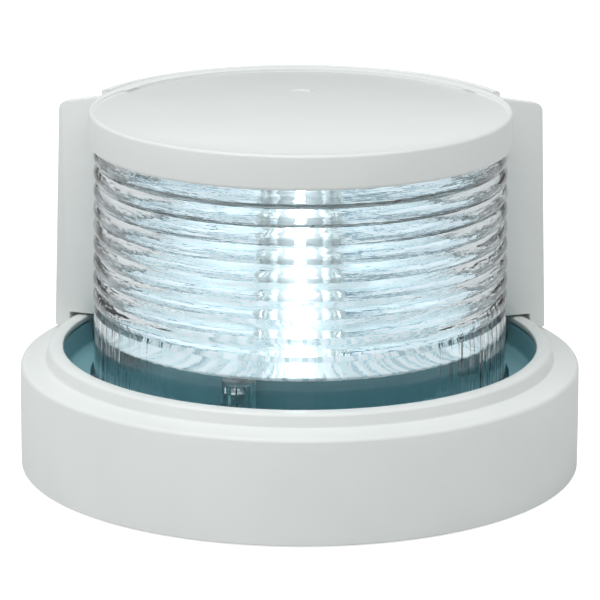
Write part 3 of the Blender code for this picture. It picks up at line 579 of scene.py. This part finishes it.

# %% [markdown]
# The tray under the strips catches the same light through the foot of the drum, but there it falls in
# streaks that run outwards. These streaks are painted light and painted shade: the streak group of the
# lens is used again with many streaks round and few up, over the moulded white, in colour and in a glow.


# %% The tray, with painted light streaks
def streaked(name):
    """Moulded white with painted light and shade in streaks, in colour and in glow, that run away from the
    axis.
    """
    made = moulded(name, (0.80, 0.86, 0.87), (0.70, 0.79, 0.81), 0.30,
                   Emission_Color=(0.84, 0.95, 1.0, 1))
    tree = made.node_tree
    shader = tree.nodes["Principled BSDF"]
    streaks = node(tree, "ShaderNodeGroup", node_tree=ROUND_STREAKS)
    streaks.inputs["Around"].default_value = 34.0
    streaks.inputs["Up"].default_value = 60.0
    # Painted light and shade: the streaks darken and lighten the white.
    tone = ramp(tree, streaks.outputs["Height"], (0.40, 0.60))
    colour = node(tree, "ShaderNodeMix", {"Factor": tone, "A": (0.50, 0.66, 0.70, 1),
                                          "B": (0.90, 0.94, 0.95, 1)}, data_type="RGBA")
    # A painted glow, stronger in the light streaks.
    glow = ramp(tree, tone, end=(0.12, 0.40))
    tree.links.new(colour.outputs["Result"], shader.inputs["Base Color"])
    tree.links.new(glow, shader.inputs["Emission Strength"])
    return made


LIT_WHITE = streaked("tray with painted light streaks")
print("tray", LIT_WHITE.name)

# %% [markdown]
# Painted shade makes the cap's disc a little greyer towards the stern, while its lip stays white. A mask
# made of height and distance from the axis picks the disc, and a ramp along the light, from bow to
# stern, sets how much shade is painted.

# %% The cap's white, with painted shade astern
LIP_MARGIN, EDGE_MARGIN = 3.3 * MM, 0.9 * MM
CAP_WHITE_PAINTED_SHADE = moulded("cap white with painted shade", (0.790, 0.812, 0.795), (0.760, 0.785, 0.770), 0.36)


def paint_shade_astern(material):
    """Paint shade on the disc, and not the lip, more and more towards the stern."""
    tree = material.node_tree
    shader = tree.nodes["Principled BSDF"]
    skin = shader.inputs["Base Color"].links[0].from_socket
    place = node(tree, "ShaderNodeTexCoord").outputs["Object"]
    parts = node(tree, "ShaderNodeSeparateXYZ", {"Vector": place})
    level = maths(tree, "LESS_THAN", parts.outputs["Z"], CAP_TOP - 0.05 * MM)
    # How much painted shade: none well forward, most at the stern.
    astern = ramp(tree, parts.outputs["Y"], (-25 * MM, 34 * MM), (0.0, 0.26))
    reach = node(tree, "ShaderNodeVectorMath", {0: from_axis(tree, place)}, operation="LENGTH")
    rim = ramp(tree, parts.outputs["Y"], (20 * MM, -6 * MM), (CAP_R - LIP_MARGIN, CAP_R - EDGE_MARGIN))
    disc = maths(tree, "LESS_THAN", reach.outputs["Value"], rim)
    where = maths(tree, "MULTIPLY", level, disc)
    shade_amount = maths(tree, "MULTIPLY", where, astern)
    # Painted shade: the disc's colour is mixed towards black.
    painted_shade = node(tree, "ShaderNodeMix", {"Factor": shade_amount, "A": skin, "B": (0.0, 0.0, 0.0, 1)},
                 data_type="RGBA")
    tree.links.new(painted_shade.outputs["Result"], shader.inputs["Base Color"])


paint_shade_astern(CAP_WHITE_PAINTED_SHADE)
print("finishes", sorted(FINISH))

# %% [markdown]
# ## The cover ring
#
# The white ring is the largest piece: an upright skirt, a ledge that rises slightly inwards, and a
# raised rim round the trench. Its corners are softly rounded, which is what catches the light, so the
# outline has a radius at each of them.

# %% Cover ring
LEDGE_WIDTH, RIM_WIDTH = 4.9 * MM, 3.3 * MM
RIM_R = COVER_R - LEDGE_WIDTH
RIM_BORE = RIM_R - RIM_WIDTH
LEDGE_Z = COVER_TOP - 3.4 * MM
SKIRT_WALL, RIM_WALL, RIM_LIP = 1.5 * MM, 1.6 * MM, 1.2 * MM
SCREW_CIRCLE = (RIM_R + 0.4 * MM + COVER_R - SKIRT_WALL) / 2
SCREEN_SCREWS = [math.radians(a) for a in (45, 90, 135)]

ring = swept([
    (RIM_BORE, COVER_TOP - 0.1 * MM, 0.35 * MM), (RIM_BORE + 1.2 * MM, COVER_TOP),
    (RIM_R - 0.5 * MM, COVER_TOP - 0.15 * MM, 0.8 * MM), (RIM_R, LEDGE_Z + 0.75 * MM, 0.4 * MM),
    (COVER_R - 0.1 * MM, LEDGE_Z + 0.1 * MM, 0.9 * MM), (COVER_R, COVER_TOP / 2),
    (COVER_R, GAP, 0.35 * MM), (COVER_R - SKIRT_WALL, GAP, 0.35 * MM),
    (COVER_R - SKIRT_WALL, LEDGE_Z - SKIRT_WALL, 0.8 * MM), (RIM_R - RIM_WALL, LEDGE_Z - SKIRT_WALL),
    (RIM_R - RIM_WALL, COVER_TOP - RIM_LIP), (RIM_BORE, COVER_TOP - RIM_LIP, 0.3 * MM)])
holes = [loose("hole", rod(1.1 * MM, LEDGE_Z - 3 * MM, COVER_TOP, polar(SCREW_CIRCLE, a), 24))
         for a in SCREEN_SCREWS]
piece("cover_ring_shell", combined(loose("ring", ring), cut=holes), "cover", "white_plastic",
      ["cover_ring"])

# %% [markdown]
# ## The rear screen
#
# Behind the lens a curved wall hides the light from astern. At each end a wing stands out along the
# line where the light must stop, 22.5 degrees abaft the beam. The wall is a part turn of its outline.
# Each wing is an extruded plate whose edges are bevelled, joined to the wall so that they are one body.

# %% Rear screen
SCREEN_LOW, SCREEN_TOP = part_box("rear_screen")[0][2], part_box("rear_screen")[1][2]
SCREEN_BORE = CAP_R + 0.4 * MM
SCREEN_R = SCREEN_BORE + 1.5 * MM
SHELF_Z = COVER_TOP + 0.4 * MM
SHELF_TOP = SHELF_Z + 1.6 * MM
FOOT_R = COVER_R - 0.9 * MM
FOOT_BORE = RIM_R + 0.4 * MM
WING_WIDTH = 1.9 * MM
WING_FOOT_R, WING_TOP_R = COVER_R - 1.3 * MM, COVER_R - 2.7 * MM
WING_ROOT_Z, WING_TIP_Z = SCREEN_TOP - 1.0 * MM, SCREEN_TOP - 3.0 * MM


def wing(angle, behind):
    """An upright plate whose front face lies on the cut-off line."""
    outline = rounded([(SCREEN_BORE + 0.1 * MM, WING_ROOT_Z), (WING_TOP_R, WING_TIP_Z, 1.8 * MM),
                       (WING_FOOT_R, SCREEN_LOW), (FOOT_BORE, SCREEN_LOW), (FOOT_BORE, SHELF_Z),
                       (SCREEN_BORE + 0.1 * MM, SHELF_Z)])
    bm = bmesh.new()
    face = bm.faces.new([bm.verts.new((*polar(p[0], angle), p[1])) for p in outline])
    grown = bmesh.ops.extrude_face_region(bm, geom=[face])["geom"]
    side = WING_WIDTH * behind
    bmesh.ops.translate(bm, verts=[v for v in grown if isinstance(v, bmesh.types.BMVert)],
                        vec=(-math.sin(angle) * side, math.cos(angle) * side, 0.0))
    bmesh.ops.recalc_face_normals(bm, faces=bm.faces)
    bmesh.ops.bevel(bm, geom=bm.edges[:], offset=0.35 * MM, affect="EDGES", segments=3, profile=0.5,
                    material=-1, clamp_overlap=True)
    return bm


half_wing = WING_WIDTH / 2 / SCREEN_R
wall = swept([
    (SCREEN_BORE, SCREEN_TOP, 0.3 * MM), (SCREEN_R, SCREEN_TOP, 0.6 * MM),
    (SCREEN_R, SHELF_TOP, 0.8 * MM), (FOOT_R, SHELF_TOP, 0.7 * MM), (FOOT_R, SCREEN_LOW),
    (FOOT_BORE, SCREEN_LOW), (FOOT_BORE, SHELF_Z), (SCREEN_BORE, SHELF_Z)],
    CUT_OFF + half_wing, math.pi - CUT_OFF - half_wing, 90)
wings = [loose("wing", wing(CUT_OFF, 1)), loose("wing", wing(math.pi - CUT_OFF, -1))]
bores = [loose("bore", rod(1.1 * MM, SCREEN_LOW - MM, SCREEN_LOW + 2.9 * MM, polar(SCREW_CIRCLE, a), 24))
         for a in SCREEN_SCREWS]
piece("rear_screen_shell", combined(loose("wall", wall), wings, bores), "cover", "white_plastic",
      ["rear_screen"])

# %% [markdown]
# ## The cap
#
# A shallow lid closes the lens. It has an upright band with a rounded lower edge, a flat lip, and a disc
# that sits a little below the lip and domes very slightly. The lip is wide only astern, along the rear
# screen. Towards the bow the disc runs out nearly flush and the lip thins to an edge. The lid is spun
# with the wide lip all round, and then the points of the lip's inner edge are moved outwards in front.

# %% Cap
LIP_R = CAP_R - 3.1 * MM
DISC_Z = CAP_TOP - 0.55 * MM
CEILING_Z = CAP_TOP - 2.5 * MM
NECK_R = LENS_R - 2.2 * MM
DOME, DOME_STEPS = 0.45 * MM, 12
THIN_LIP_R = CAP_R - 0.75 * MM
FLUSH_RISE = 0.42 * MM
NOTCH, TAB_END = math.radians(25), math.radians(-4)
dome = [(LIP_R * n / DOME_STEPS, DISC_Z + DOME * (1 - (n / DOME_STEPS) ** 2)) for n in range(DOME_STEPS)]
cap = swept([
    *dome, (LIP_R - 0.15 * MM, DISC_Z, 0.1 * MM), (LIP_R, CAP_TOP, 0.12 * MM),
    (CAP_R - 0.1 * MM, CAP_TOP, 0.7 * MM), (CAP_R, CAP_LOW, 0.7 * MM),
    (NECK_R + 0.4 * MM, CAP_LOW, 0.3 * MM), (NECK_R + 0.4 * MM, CEILING_Z), (0.0, CEILING_Z)],
    axis_ends=True)


def flush_share(vert):
    """0 where the disc is sunk below the lip, 1 where it runs out flush with it, towards the bow."""
    aft = math.asin(max(-1.0, min(1.0, vert.co.y / max(Vector(vert.co[:2]).length, 0.01 * MM))))
    return 0.0 if aft > NOTCH else min(1.0, 0.35 + 0.65 * (NOTCH - aft) / (NOTCH - TAB_END))


for vert in cap.verts:
    radius, share = Vector(vert.co[:2]).length, flush_share(vert)
    if vert.co.z < CEILING_Z + 0.5 * MM or radius > LIP_R + 0.3 * MM:
        continue
    if vert.co.z < CAP_TOP - 0.14 * MM:
        vert.co.z += share * FLUSH_RISE * (radius / LIP_R) ** 2
    if radius > LIP_R - 0.4 * MM:
        vert.co.xy *= 1 + share * (THIN_LIP_R - LIP_R) / LIP_R
lid = piece("cap_shell", cap, "base", "white_plastic", ["cap"])
lid.data.materials[0] = CAP_WHITE_PAINTED_SHADE

# %% [markdown]
# The point where the plastic entered the mould is left as a small raised crescent on the disc, towards
# the stern. It is a part turn of a low outline, moved from the axis to its place.

# %% Gate mark on the cap
GATE_Y = 16.7 * MM
GATE_Z = DISC_Z + DOME * (1 - (GATE_Y / LIP_R) ** 2)
gate = swept([(2.0 * MM, GATE_Z - 0.1 * MM), (2.1 * MM, GATE_Z + 0.16 * MM, 0.05 * MM),
              (2.7 * MM, GATE_Z + 0.16 * MM, 0.05 * MM), (2.8 * MM, GATE_Z - 0.1 * MM)],
             math.radians(35), math.radians(145), 24)
bmesh.ops.translate(gate, verts=gate.verts, vec=(0.0, GATE_Y - 2.2 * MM, 0.0))
piece("cap_gate_mark", gate, "base", "white_plastic")

# %% [markdown]
# ## The lens
#
# The drum bends the light of the strips towards the horizon with a stack of horizontal ribs, each a
# small cylinder lens. The ribs are computed: every rib is half a wave between two sharp valleys. Under
# them the wall is plain down to the groove in the base. Inside, three clear posts take the lens screws.

# %% Lens wall
SHOULDER_Z = CAP_LOW - GAP
RIBS_LOW = LENS_LOW + 13.8 * MM
RIB_COUNT, RIB_DEPTH, RIB_STEPS = 9, 0.75 * MM, 10
LENS_BORE, NECK_BORE = LENS_R - 2.9 * MM, LENS_R - 4.1 * MM
PLAIN_Z = TRAY_TOP + 0.8 * MM


def lens_radius(z):
    """The drum narrows by 0.6 mm from its foot to its shoulder, so that it leaves the mould."""
    return LENS_R - 0.6 * MM * (z - LENS_LOW) / (SHOULDER_Z - LENS_LOW)


outline = [(NECK_BORE, NECK_TOP), (NECK_R, NECK_TOP, 0.2 * MM), (NECK_R, SHOULDER_Z)]
for step in range(RIB_COUNT * RIB_STEPS + 1):
    z = SHOULDER_Z - (SHOULDER_Z - RIBS_LOW) * step / (RIB_COUNT * RIB_STEPS)
    bulge = math.sin(math.pi * (step % RIB_STEPS) / RIB_STEPS)
    outline.append((lens_radius(z) - RIB_DEPTH * (1 - bulge), z))
outline += [(lens_radius(RIBS_LOW) - 0.2 * MM, RIBS_LOW - 0.9 * MM, 0.6 * MM),
            (lens_radius(PLAIN_Z) - 0.1 * MM, PLAIN_Z),
            (lens_radius(PLAIN_Z) - 0.2 * MM, PLAIN_Z - 0.3 * MM),
            (LENS_R - 0.2 * MM, LENS_LOW + 0.6 * MM, 0.2 * MM), (LENS_R - 0.2 * MM, LENS_LOW),
            (LENS_BORE, LENS_LOW), (LENS_BORE, SHOULDER_Z - 1.9 * MM, 0.8 * MM)]

POST_R, POST_BORE = 3.0 * MM, 1.4 * MM
POST_LOW, POST_TOP = LENS_LOW + 0.7 * MM, TRAY_LOW - GAP
POST_CIRCLE = LENS_BORE - 3.9 * MM
LENS_SCREWS = [math.radians(a) for a in (-109.6, 10.4, 130.4)]
added, bored = [], []
for angle in LENS_SCREWS:
    at = polar(POST_CIRCLE, angle)
    added.append(loose("post", rod(POST_R, POST_LOW, POST_TOP, at)))
    added.append(loose("web", bar((POST_CIRCLE, -MM, POST_LOW + 0.6 * MM),
                                  (LENS_BORE + 0.4 * MM, MM, POST_TOP - 0.6 * MM), angle)))
    bored.append(loose("bore", rod(POST_BORE, POST_LOW - MM, POST_LOW + 6.4 * MM, at, 32)))
piece("lens_drum", combined(loose("drum", swept(outline, steps=256)), added, bored), "base",
      "clear_plastic", ["lens"])

# %% [markdown]
# ## The base moulding
#
# Blue-grey plastic shows in the trench between rim and lens, and through the clear foot of the lens. The
# trench wall stands up behind the rim with a small radius at its foot, and a low pedestal ring carries
# the tray. The three pockets for the mounting screws are cut through the trench floor.

# %% Base moulding
DECK_Z = LENS_LOW + 0.4 * MM
GROOVE_Z, FLOOR_Z, BAY_TOP = DECK_Z - 2.0 * MM, DECK_Z - 2.4 * MM, DECK_Z - 3.2 * MM
FLANGE_Z = FLANGE_LOW + 2.8 * MM
BAY_STEP_Z = FLANGE_LOW + 3.5 * MM
BAY_R = LENS_BORE - 1.2 * MM
TRENCH_R = LENS_R + 5.0 * MM
TRENCH_TOP = COVER_TOP - RIM_LIP - 0.4 * MM
WALL_R = TRENCH_R + 1.8 * MM
PEDESTAL_R = POST_CIRCLE - POST_R - 0.6 * MM
base = swept([
    (0.0, DECK_Z), (PEDESTAL_R - 1.6 * MM, DECK_Z, 0.6 * MM), (PEDESTAL_R - 1.6 * MM, POST_TOP, 0.2 * MM),
    (PEDESTAL_R, POST_TOP, 0.2 * MM), (PEDESTAL_R, DECK_Z, 0.6 * MM), (LENS_BORE - 0.4 * MM, DECK_Z),
    (LENS_BORE - 0.4 * MM, GROOVE_Z), (LENS_R + 0.4 * MM, GROOVE_Z),
    (LENS_R + 0.4 * MM, DECK_Z, 0.2 * MM), (TRENCH_R, DECK_Z, 0.6 * MM),
    (TRENCH_R + 0.5 * MM, TRENCH_TOP, 0.3 * MM), (WALL_R, TRENCH_TOP, 0.3 * MM),
    (WALL_R, FLOOR_Z, 1.2 * MM), (BAY_R + 4.5 * MM, FLOOR_Z),
    (BAY_R + 4.5 * MM, FLANGE_Z, 0.8 * MM), (FLANGE_R, FLANGE_Z, 0.4 * MM),
    (FLANGE_R, FLANGE_LOW), (BAY_R + 1.5 * MM, FLANGE_LOW), (BAY_R + 1.5 * MM, BAY_STEP_Z),
    (BAY_R, BAY_STEP_Z), (BAY_R, BAY_TOP, 0.8 * MM), (0.0, BAY_TOP)], axis_ends=True)
FIXING_CIRCLE = (BAY_R + 4.5 * MM + FLANGE_R) / 2
FIXINGS = [math.radians(a) for a in (-90, 30, 150)]
PLATE_SCREWS = [a + math.radians(60) for a in LENS_SCREWS]
BOSS_R = 3.0 * MM
PLATE_CIRCLE = BAY_R - BOSS_R - 0.6 * MM
SCREW_BORE = 1.6 * MM
added = [loose("boss", bar((PLATE_CIRCLE - BOSS_R, -BOSS_R, BAY_STEP_Z),
                           (BAY_R + 0.5 * MM, BOSS_R, BAY_TOP + 0.5 * MM), a)) for a in PLATE_SCREWS]
cuts = []
for angle in FIXINGS:
    at = polar(FIXING_CIRCLE, angle)
    cuts.append(loose("pocket", rod(4.2 * MM, FLANGE_Z - GAP, TRENCH_TOP + MM, at)))
    cuts.append(loose("fixing", rod(2.25 * MM, FLANGE_LOW - MM, FLANGE_Z + MM, at)))
for angle in PLATE_SCREWS:
    at = polar(PLATE_CIRCLE, angle)
    cuts.append(loose("bore", rod(SCREW_BORE, BAY_STEP_Z - MM, BAY_STEP_Z + 5.2 * MM, at, 24)))
for at in [*(polar(POST_CIRCLE, angle) for angle in LENS_SCREWS), (-3.3 * MM, 0.0), (3.3 * MM, 0.0)]:
    cuts.append(loose("hole", rod(SCREW_BORE, BAY_TOP - MM, DECK_Z + MM, at, 24)))
cuts.append(loose("lead_hole", rod(4.0 * MM, BAY_TOP - MM, DECK_Z + MM, (0.0, 16.5 * MM))))
piece("base_moulding", combined(loose("base", base), added, cuts), "base", "blue_grey_plastic",
      ["base_body"])

# %% [markdown]
# ## Inside the lens
#
# The white tray is the floor of the light chamber. Its edge is chamfered underneath, so that it looks
# thin from above, and its rim is finely notched, which draws short upright lines under the lowest rib.
# The chamfer is part of the spun outline, and the notches move the rim's points in and out by a cosine.

# %% Tray
NOTCHES, NOTCH_DEPTH = 72, 0.008
TRAY_EDGE, TRAY_CHAMFER, TRAY_BORE = 0.3 * MM, 4.0 * MM, 8.7 * MM
tray = swept([(TRAY_R, TRAY_TOP, 0.1 * MM), (TRAY_R, TRAY_TOP - TRAY_EDGE, 0.1 * MM),
              (TRAY_R - TRAY_CHAMFER, TRAY_LOW), (TRAY_BORE, TRAY_LOW), (TRAY_BORE, TRAY_TOP, 0.3 * MM)])
for vert in tray.verts:
    radius = Vector(vert.co[:2]).length
    if radius > TRAY_R - 0.3 * MM:
        angle = math.atan2(vert.co.y, vert.co.x)
        vert.co.xy *= 1 - NOTCH_DEPTH * (0.5 + 0.5 * math.cos(NOTCHES * angle))
floor_disc = piece("tray_disc", tray, "base", "white_plastic", ["led_tray"])
floor_disc.data.materials[0] = LIT_WHITE

# %% [markdown]
# The inner screen closes the chamber towards the stern: a bend round the post and two vanes along the
# cut-off lines. The vanes' fronts are ribbed, so one section is drawn with a small wave and extruded
# outwards, which keeps each vane one clean closed shape.

# %% Inner screen
VANE_LOW, VANE_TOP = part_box("inner_screen")[0][2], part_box("inner_screen")[1][2]
BEND_R, VANE_WALL = 10.4 * MM, 1.6 * MM
VANE_RIBS, VANE_RELIEF = 14, 0.30 * MM


def ribbed_vane(angle, behind):
    """A radial wall whose front face is a stack of small waves; the back stays flat."""
    steps = VANE_RIBS * 8
    front = []
    for step in range(steps + 1):
        depth = VANE_RELIEF * (0.5 - 0.5 * math.cos(2 * math.pi * VANE_RIBS * step / steps))
        front.append((depth, VANE_LOW + (VANE_TOP - VANE_LOW) * step / steps))
    section = front + [(VANE_WALL, VANE_TOP), (VANE_WALL, VANE_LOW)]
    inner, outer = BEND_R - VANE_WALL + 0.1 * MM, TRAY_R
    bm = bmesh.new()
    across = Vector((-math.sin(angle), math.cos(angle), 0.0)) * behind
    along = Vector((math.cos(angle), math.sin(angle), 0.0))
    face = bm.faces.new([bm.verts.new(along * inner + across * depth + Vector((0, 0, z)))
                         for depth, z in section])
    grown = bmesh.ops.extrude_face_region(bm, geom=[face])["geom"]
    bmesh.ops.translate(bm, verts=[v for v in grown if isinstance(v, bmesh.types.BMVert)],
                        vec=along * (outer - inner))
    bmesh.ops.recalc_face_normals(bm, faces=bm.faces)
    return bm


embed = VANE_WALL / 2 / BEND_R
bend = swept([(BEND_R - VANE_WALL, VANE_TOP), (BEND_R, VANE_TOP), (BEND_R, VANE_LOW),
              (BEND_R - VANE_WALL, VANE_LOW)], CUT_OFF + embed, math.pi - CUT_OFF - embed, 36)
vanes = [loose("vane", ribbed_vane(CUT_OFF, 1)), loose("vane", ribbed_vane(math.pi - CUT_OFF, -1))]
screen = piece("inner_screen_ribbed", combined(loose("bend", bend), vanes), "base", "white_plastic",
               ["inner_screen"])
screen.data.materials[0] = PAINTED_CAUSTIC_WHITE

# %% [markdown]
# Three white boards stand round the post, one ahead and one to each side, and each carries a strip of
# chips. A strip is wide low down, where the chips lie side by side, and narrow above. Boards and strips
# are flat, so they are boxes with bevelled edges, and the two widths are joined into one body.

# %% LED strips and boards
STRIPS = {"port": math.radians(-165), "bow": math.radians(-90), "starboard": math.radians(-15)}
STRIP_LOW, STRIP_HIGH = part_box("led_strip_bow")[0][2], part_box("led_strip_bow")[1][2]
BOARD_LOW, BOARD_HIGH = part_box("led_board_bow")[0][2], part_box("led_board_bow")[1][2]
BOARD_FACE, STRIP_FACE = 5.9 * MM, 7.4 * MM
NARROW_Z = STRIP_LOW + 13.0 * MM
BOARD_HALF, WIDE_HALF, NARROW_HALF = 4.2 * MM, 2.9 * MM, 1.0 * MM
for name, angle in STRIPS.items():
    slab = bar((BOARD_FACE, -BOARD_HALF, BOARD_LOW), (BOARD_FACE + 1.2 * MM, BOARD_HALF, BOARD_HIGH),
               angle, 0.15 * MM)
    made = piece(f"led_board_{name}_white", slab, "base", "circuit_board", [f"led_board_{name}"])
    made.data.materials[0] = WHITE_BOARD
    wide = bar((STRIP_FACE, -WIDE_HALF, STRIP_LOW), (STRIP_FACE + 0.8 * MM, WIDE_HALF, NARROW_Z),
               angle, 0.3 * MM)
    narrow = bar((STRIP_FACE, -NARROW_HALF, NARROW_Z - MM),
                 (STRIP_FACE + 0.7 * MM, NARROW_HALF, STRIP_HIGH), angle, 0.3 * MM)
    piece(f"led_strip_{name}_lit", combined(loose("wide", wide), [loose("narrow", narrow)]), "base",
          "lit_led", [f"led_strip_{name}"])

# %% [markdown]
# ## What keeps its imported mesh
#
# Screws, seals, the driver and the leads are small or hidden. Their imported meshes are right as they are,
# so they only take their finish.

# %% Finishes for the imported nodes
slots = {row["node"]: row["material_slot"] for row in frame["record"]["subparts"]}
for name, obj in frame["nodes"].items():
    if obj.hide_render:
        continue
    obj.data.materials.clear()
    obj.data.materials.append(WHITE_COAT if name == "led_post" else FINISH[slots[name]])
print("packed nodes shown", sorted(n for n, o in frame["nodes"].items() if not o.hide_render))

# %% [markdown]
# ## Floor, light and camera
#
# The floor is a plain pale sheet. It glows where the camera looks straight at it, so that it stays white
# all round, and hardly at all towards the object, whose walls would otherwise be lit from below.

# %% Floor
floor_bm = bmesh.new()
bmesh.ops.create_grid(floor_bm, x_segments=1, y_segments=1, size=4.0)
floor_mesh = bpy.data.meshes.new("floor")
floor_bm.to_mesh(floor_mesh)
floor_bm.free()
floor = bpy.data.objects.new("floor", floor_mesh)
scene.collection.objects.link(floor)
floor.location.z = -0.05 * MM
floor_material, floor_tree, floor_shader = new_material("pale floor")
floor_shader.inputs["Base Color"].default_value = (0.62, 0.62, 0.62, 1)
floor_shader.inputs["Roughness"].default_value = 0.9
floor_shader.inputs["Emission Color"].default_value = (1, 1, 1, 1)
seen = node(floor_tree, "ShaderNodeLightPath").outputs["Is Camera Ray"]
floor_glow = ramp(floor_tree, seen, end=(0.05, 0.80))
floor_tree.links.new(floor_glow, floor_shader.inputs["Emission Strength"])
floor_mesh.materials.append(floor_material)
print("floor", floor.name)

# %% [markdown]
# The lamps are large and soft: one hangs above and a little in front, which makes the upper faces the
# brightest, and a weak one stands low on the left, so that the left wing is lighter than the right.


# %% Lamps
def lamp(name, place, size, power):
    """A square soft lamp that looks at the middle of the light."""
    data = bpy.data.lights.new(name, "AREA")
    data.size = size
    data.energy = power
    obj = bpy.data.objects.new(name, data)
    obj.location = place
    obj.rotation_mode = "QUATERNION"
    obj.rotation_quaternion = (Vector((0, 0, 0.03)) - obj.location).to_track_quat("-Z", "Y")
    scene.collection.objects.link(obj)


lamp("top lamp", (-0.12, -0.26, 1.10), 0.7, 4.3)
lamp("left lamp", (-1.10, -0.60, 0.40), 0.7, 1.1)

# %% [markdown]
# The rest of the light is a pale sky, brighter astern, above and on the left. Clear ribs and rounded
# edges need something to mirror, so the sky has one brighter band half way up in front.

# %% Sky
world = bpy.data.worlds.new("studio")
world.use_nodes = True
sky = world.node_tree
way = node(sky, "ShaderNodeSeparateXYZ", {"Vector": node(sky, "ShaderNodeTexCoord").outputs["Generated"]})
astern = ramp(sky, way.outputs["Y"], (-0.5, 0.7), (0.42, 0.75))
rise = ramp(sky, way.outputs["Z"], (0.04, 0.34), (0.30, 1.0))
side = ramp(sky, way.outputs["X"], (-0.9, 0.9), (1.16, 0.88))
both = maths(sky, "MULTIPLY", astern, rise)
glow = maths(sky, "MULTIPLY", both, side)
band_low = ramp(sky, way.outputs["Z"], (0.56, 0.64))
band_high = ramp(sky, way.outputs["Z"], (0.84, 0.76))
in_front = ramp(sky, way.outputs["Y"], (0.1, -0.3), (0.0, 1.9))
band = maths(sky, "MULTIPLY", band_low, band_high)
total = maths(sky, "MULTIPLY_ADD", band, in_front, glow)
sky.links.new(total, sky.nodes["Background"].inputs["Strength"])
sky.nodes["Background"].inputs["Color"].default_value = (0.97, 0.99, 1.0, 1)
scene.world = world
scene.view_settings.view_transform = "Standard"
print("sky", world.name)

# %% [markdown]
# The camera stands low, dead ahead and well back, with a long lens, so that the circles look only a
# little closer together at the far side. It aims at a point on the axis and is turned by a hair.

# %% Camera
TARGET = Vector((0.0, 0.0, 31.4 * MM))
ROLL = 0.245
camera_data = bpy.data.cameras.new("camera")
camera_data.sensor_width = 36.0
camera_data.lens = 223.8
camera = bpy.data.objects.new("camera", camera_data)
camera.location = (0.0, -681.1 * MM, 215.8 * MM)
camera.rotation_mode = "QUATERNION"
aim = (TARGET - camera.location).to_track_quat("-Z", "Y")
camera.rotation_quaternion = aim @ Matrix.Rotation(math.radians(ROLL), 3, "Z").to_quaternion()
scene.collection.objects.link(camera)
scene.camera = camera
print("camera", tuple(camera.location), "lens", camera_data.lens)
